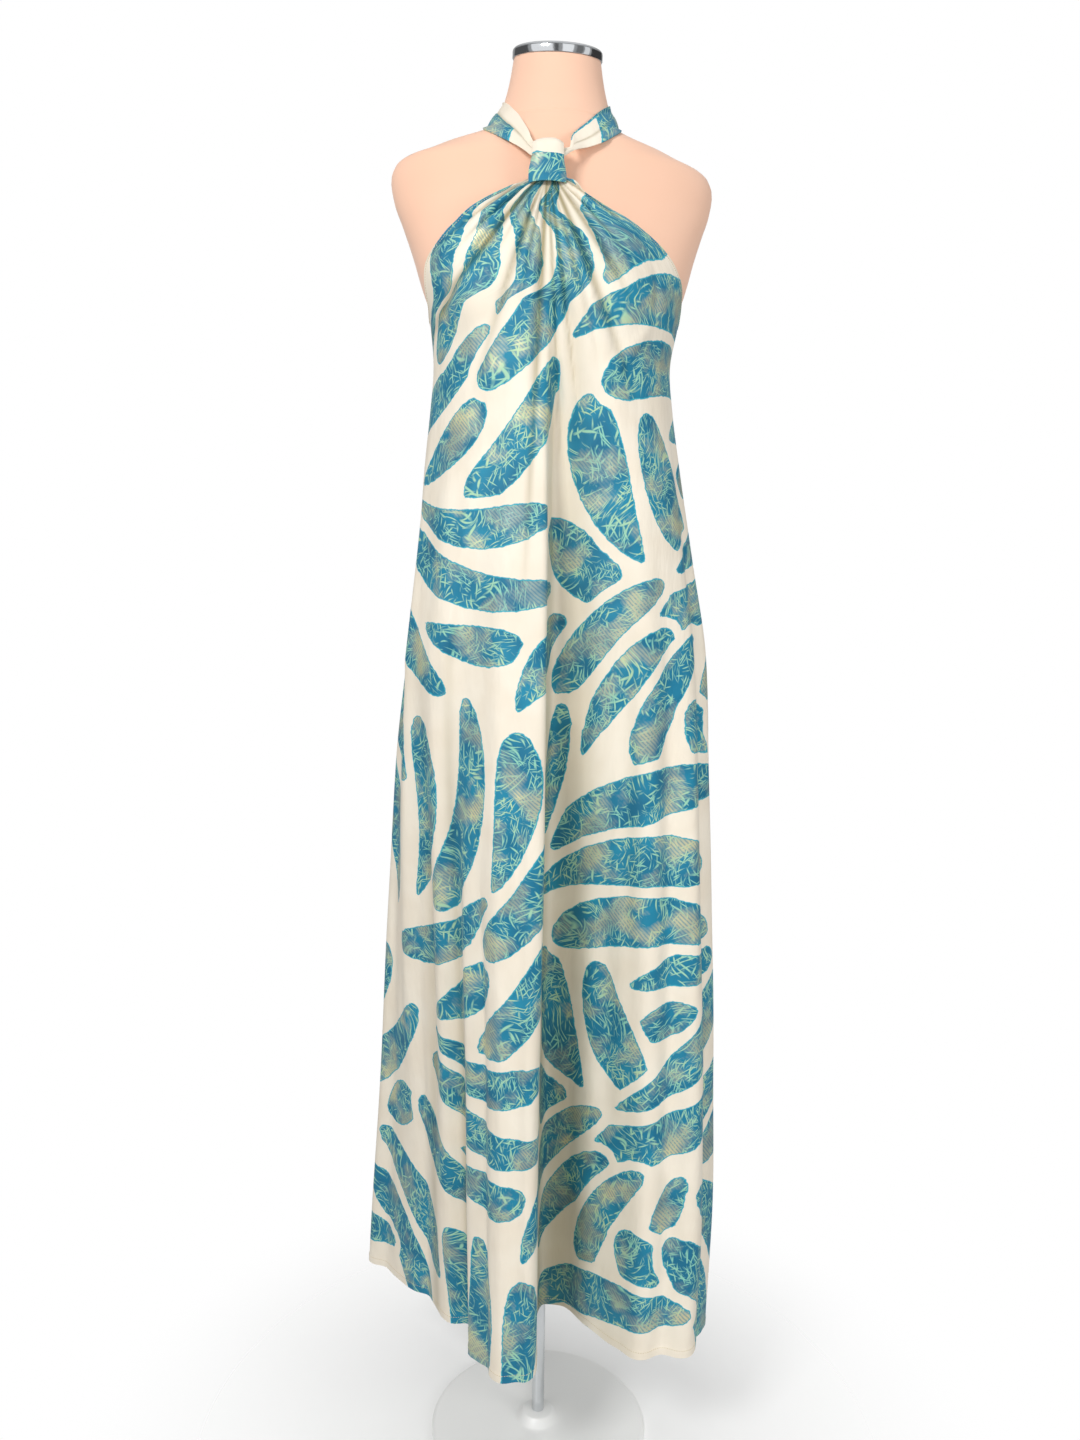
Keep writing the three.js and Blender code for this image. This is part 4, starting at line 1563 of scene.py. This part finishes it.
def turned(name, profile, material, place=(0, 0, 0), tilt=0, turn=0):
    """A closed piece turned from a profile that starts and ends on the axis."""
    radius, height = (np.array(side, float)[:, None] for side in zip(*profile))
    angle = np.linspace(0, 2 * math.pi, AROUND, endpoint=False)[None]
    rings = np.stack([radius * np.cos(angle), radius * np.sin(angle), height + 0 * angle], axis=-1)
    matrix = np.array(Matrix.Rotation(turn, 3, "Z") @ Matrix.Rotation(tilt, 3, "X"))
    rings = rings @ matrix.T + np.array(place)
    return closed_rings(name, rings[1:-1], rings[[0, -1], 0], material)


def rounded_rod(radius, height, corner):
    """The profile of a rod with a quarter round at both ends."""
    arc = np.linspace(0, math.pi / 2, 5)
    low = [(radius - corner + corner * math.sin(a), corner - corner * math.cos(a)) for a in arc]
    return [(0, 0)] + low + [(r, height - z) for r, z in reversed(low)] + [(0, height)]


def stepped_in(rows, radius):
    """A profile from how far each place lies in from the full radius, and how high it is."""
    return [(0, 0)] + [(radius - row["inset"], row["height"]) for row in rows]


CAP = table("""
inset height
1 0
0.3 0.3
0 1
0 7.6
0.4 9
1.6 10.4
3.4 11.2
5.6 11.6
13.15 12.4
26.3 13.4
39.45 13.9
52.6 14
""")
BASE = table("""
inset height
2 0
0.6 0.6
0 2
0.2 4.2
1 6
3 7.4
6 8
50 9.4
107 10.8
111 11.4
114 12.6
120 20.8
121.5 22
140 22
""")

neck_end = Vector((0, FORM[-1]["centre"], 0))
cap_seat = neck_end + Matrix.Rotation(NECK_TILT, 3, "X") @ Vector((0, 0, SEAT_GAP))
cap_seat = Matrix.Rotation(FORM_TURN, 3, "Z") @ cap_seat + Vector((0, 0, RAISED + NECK_TOP))
cap_profile = stepped_in(CAP, CAP_RADIUS)
neck_cap = turned("chrome_cap", cap_profile, CHROME, cap_seat, NECK_TILT, FORM_TURN)

plate_bottom = RAISED + FORM_BOTTOM - SEAT_GAP - FLANGE
plate_profile = rounded_rod(FLANGE_RADIUS, FLANGE, FLANGE_CORNER)
plate = turned("chrome_plate", plate_profile, CHROME, (0, 0, plate_bottom))

pole_bottom = BASE_TOP + SEAT_GAP
pole_profile = rounded_rod(POLE_RADIUS, plate_bottom - SEAT_GAP - pole_bottom, POLE_CORNER)
pole = turned("chrome_pole", pole_profile, CHROME, (0, 0, pole_bottom))
base = turned("enamel_base", stepped_in(BASE, BASE_RADIUS), ENAMEL)

# %% [markdown]
# ## What each piece stands for
#
# Each fine piece takes the place of its solid and rides on the part's one body.

for piece, node, finish in (
    (front["shell"], "front_panel", "printed_cloth"),
    (back["shell"], "back_panel", "printed_cloth"),
    (neckband, "neckband", "printed_cloth"),
    (loop, "loop", "printed_cloth"),
    (body, "torso", "form_jersey"),
    (neck_cap, "neck_cap", "chrome"),
    (plate, "flange", "chrome"),
    (pole, "pole", "chrome"),
    (base, "base", "white_enamel"),
):
    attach(piece, "root")
    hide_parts(node)

for piece in (front_stitches, back_stitches):
    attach(piece, "root")

# %% [markdown]
# ## The floor
#
# The picture is a plain catalogue one, in a white room. The floor fades into the sky with distance,
# which leaves no horizon. It glows very faintly, so that it is as white as the sky where it is seen.

# %% Lay the floor
FLOOR_RADIUS = 9.0
FLOOR_SIDES = 64
FLOOR_GLOW = 0.05
FADE_FROM = 0.08
FADE_TO = 0.62


def floor_paint():
    material, node, place = on_piece("matt_floor_paint")
    tone = mottled(node, place, 3.0, "#F8F8F7", "#FCFCFB")
    look = {"Base Color": tone, "Roughness": 0.9, "Emission Color": tone, "Emission Strength": FLOOR_GLOW}
    away = node("VectorMath", {0: place}, "Value", operation="LENGTH")
    fade = node("MapRange", {0: away, 1: FADE_FROM, 2: FADE_TO}, interpolation_type="SMOOTHSTEP")
    faded = {0: fade, 1: node("BsdfPrincipled", look), 2: node("BsdfTransparent")}
    node("OutputMaterial", {"Surface": node("MixShader", faded)})
    return material


def stage_piece(name, points, faces, material):
    """A piece of the room, in metres, which is no part of the object."""
    mesh = bpy.data.meshes.new(name)
    mesh.from_pydata(points, [], faces)
    mesh.materials.append(material)
    piece = new_object(name, mesh)
    piece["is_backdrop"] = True
    return piece


rim = np.linspace(0, 2 * math.pi, FLOOR_SIDES, endpoint=False)
rim = [(FLOOR_RADIUS * math.cos(a), FLOOR_RADIUS * math.sin(a), 0) for a in rim]
stage_piece("floor", rim, [tuple(range(FLOOR_SIDES))], floor_paint())
print("the floor has faded away", FADE_TO, "m from the pole")

# %% [markdown]
# ## Light
#
# The photograph has one large soft light, high in front and to the left, and enough shade in the
# folds to read them. So the key light stands there. A wide fill from the right opens the shade, a low
# light reaches the foot of the skirt, and one from behind keeps the back and the edges light. Only
# the key is mirrored, as one highlight. The camera sees a white sky, but the sky lights the dress only
# weakly, so that the lamps can shape it.

# %% Hang the lights
SKY_SEEN = 1.0
SKY_LIGHT = 0.37
LIGHTS = {
    "key": {"place": (-1.05, -1.8, 2.2), "aim": (0, 0, 1.2), "side": 0.6, "watts": 31},
    "fill": {"place": (2.1, -1.5, 1.45), "aim": (0, 0, 1.05), "side": 1.2, "watts": 22},
    "low": {"place": (0.0, -2.2, 0.7), "aim": (0, 0, 0.2), "side": 0.9, "watts": 8},
    "back": {"place": (0.6, 2.4, 1.8), "aim": (0, 0, 1.1), "side": 1.6, "watts": 22},
}

world = bpy.data.worlds.new("white_room")
bpy.context.scene.world = world
world.use_nodes = True
world.node_tree.nodes.clear()
node = adder(world.node_tree)
seen = node("LightPath", out="Is Camera Ray")
strength = node("MapRange", {0: seen, 3: SKY_LIGHT, 4: SKY_SEEN})
white = node("Background", {"Color": (1, 1, 1, 1), "Strength": strength})
node("OutputWorld", {"Surface": white})
bpy.context.scene.view_settings.view_transform = "Standard"

for name, lamp in LIGHTS.items():
    data = bpy.data.lights.new(name, "AREA")
    data.shape = "SQUARE"
    data.size = lamp["side"]
    data.energy = lamp["watts"]
    light = new_object(name, data)
    light.location = lamp["place"]
    to_aim = Vector(lamp["aim"]) - light.location
    light.rotation_euler = to_aim.to_track_quat("-Z", "Y").to_euler()
    light.visible_glossy = name == "key"
print("lights:", ", ".join(LIGHTS))

# %% [markdown]
# Polished metal shows nothing but the room, so the room needs something to show. Tall cards stand
# round the form, some bright and some dark, and one more hangs over it for the top of the cap. Only
# reflections see them.

# %% Cards for the chrome to reflect
CARD_DISTANCE = 2.6
CARD_HEIGHT = 3.2
CARD_PARTS = 8
TOP_CARD_SIDE = 1.1
TOP_CARD_LIGHT = 0.75
# Where each tall card begins and ends, in degrees from the front and positive to the right, and how
# bright it is.
CARDS = table("""
begin end light
-140 -78 0.1
-68 -12 1
-8 2 0.12
12 40 1.1
48 66 0.2
70 86 0.9
92 150 0.05
""")


def add_card(name, points, faces, brightness):
    paper, node = new_material(name + "_paper")
    glow = node("Emission", {"Color": (1, 1, 1, 1), "Strength": brightness})
    node("OutputMaterial", {"Surface": glow})
    card = stage_piece(name, points, faces, paper)
    for ray in ("camera", "diffuse", "shadow", "transmission"):
        setattr(card, "visible_" + ray, False)


for number, row in enumerate(CARDS):
    turn = np.radians(np.linspace(row["begin"], row["end"], CARD_PARTS + 1))
    low = [(CARD_DISTANCE * math.sin(a), -CARD_DISTANCE * math.cos(a), 0.0) for a in turn]
    high = [(x, y, CARD_HEIGHT) for x, y, _ in low]
    faces = [(i, i + 1, i + CARD_PARTS + 2, i + CARD_PARTS + 1) for i in range(CARD_PARTS)]
    add_card("card_%d" % number, low + high, faces, row["light"])

corners = [(-1, -1), (1, -1), (1, 1), (-1, 1)]
overhead = [(TOP_CARD_SIDE * x, TOP_CARD_SIDE * y, CARD_HEIGHT) for x, y in corners]
add_card("card_overhead", overhead, [(0, 1, 2, 3)], TOP_CARD_LIGHT)
print(len(CARDS), "cards stand round the form, and one hangs over it")

# %% [markdown]
# ## The size
#
# The box around all visible pieces is set beside the box around the solids. Both stand in the same
# frame, so they should agree within a few millimetres.

# %% Both boxes
seen_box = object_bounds()
[[list(map(float, corner)) for corner in box] for box in (solid_box, seen_box)]
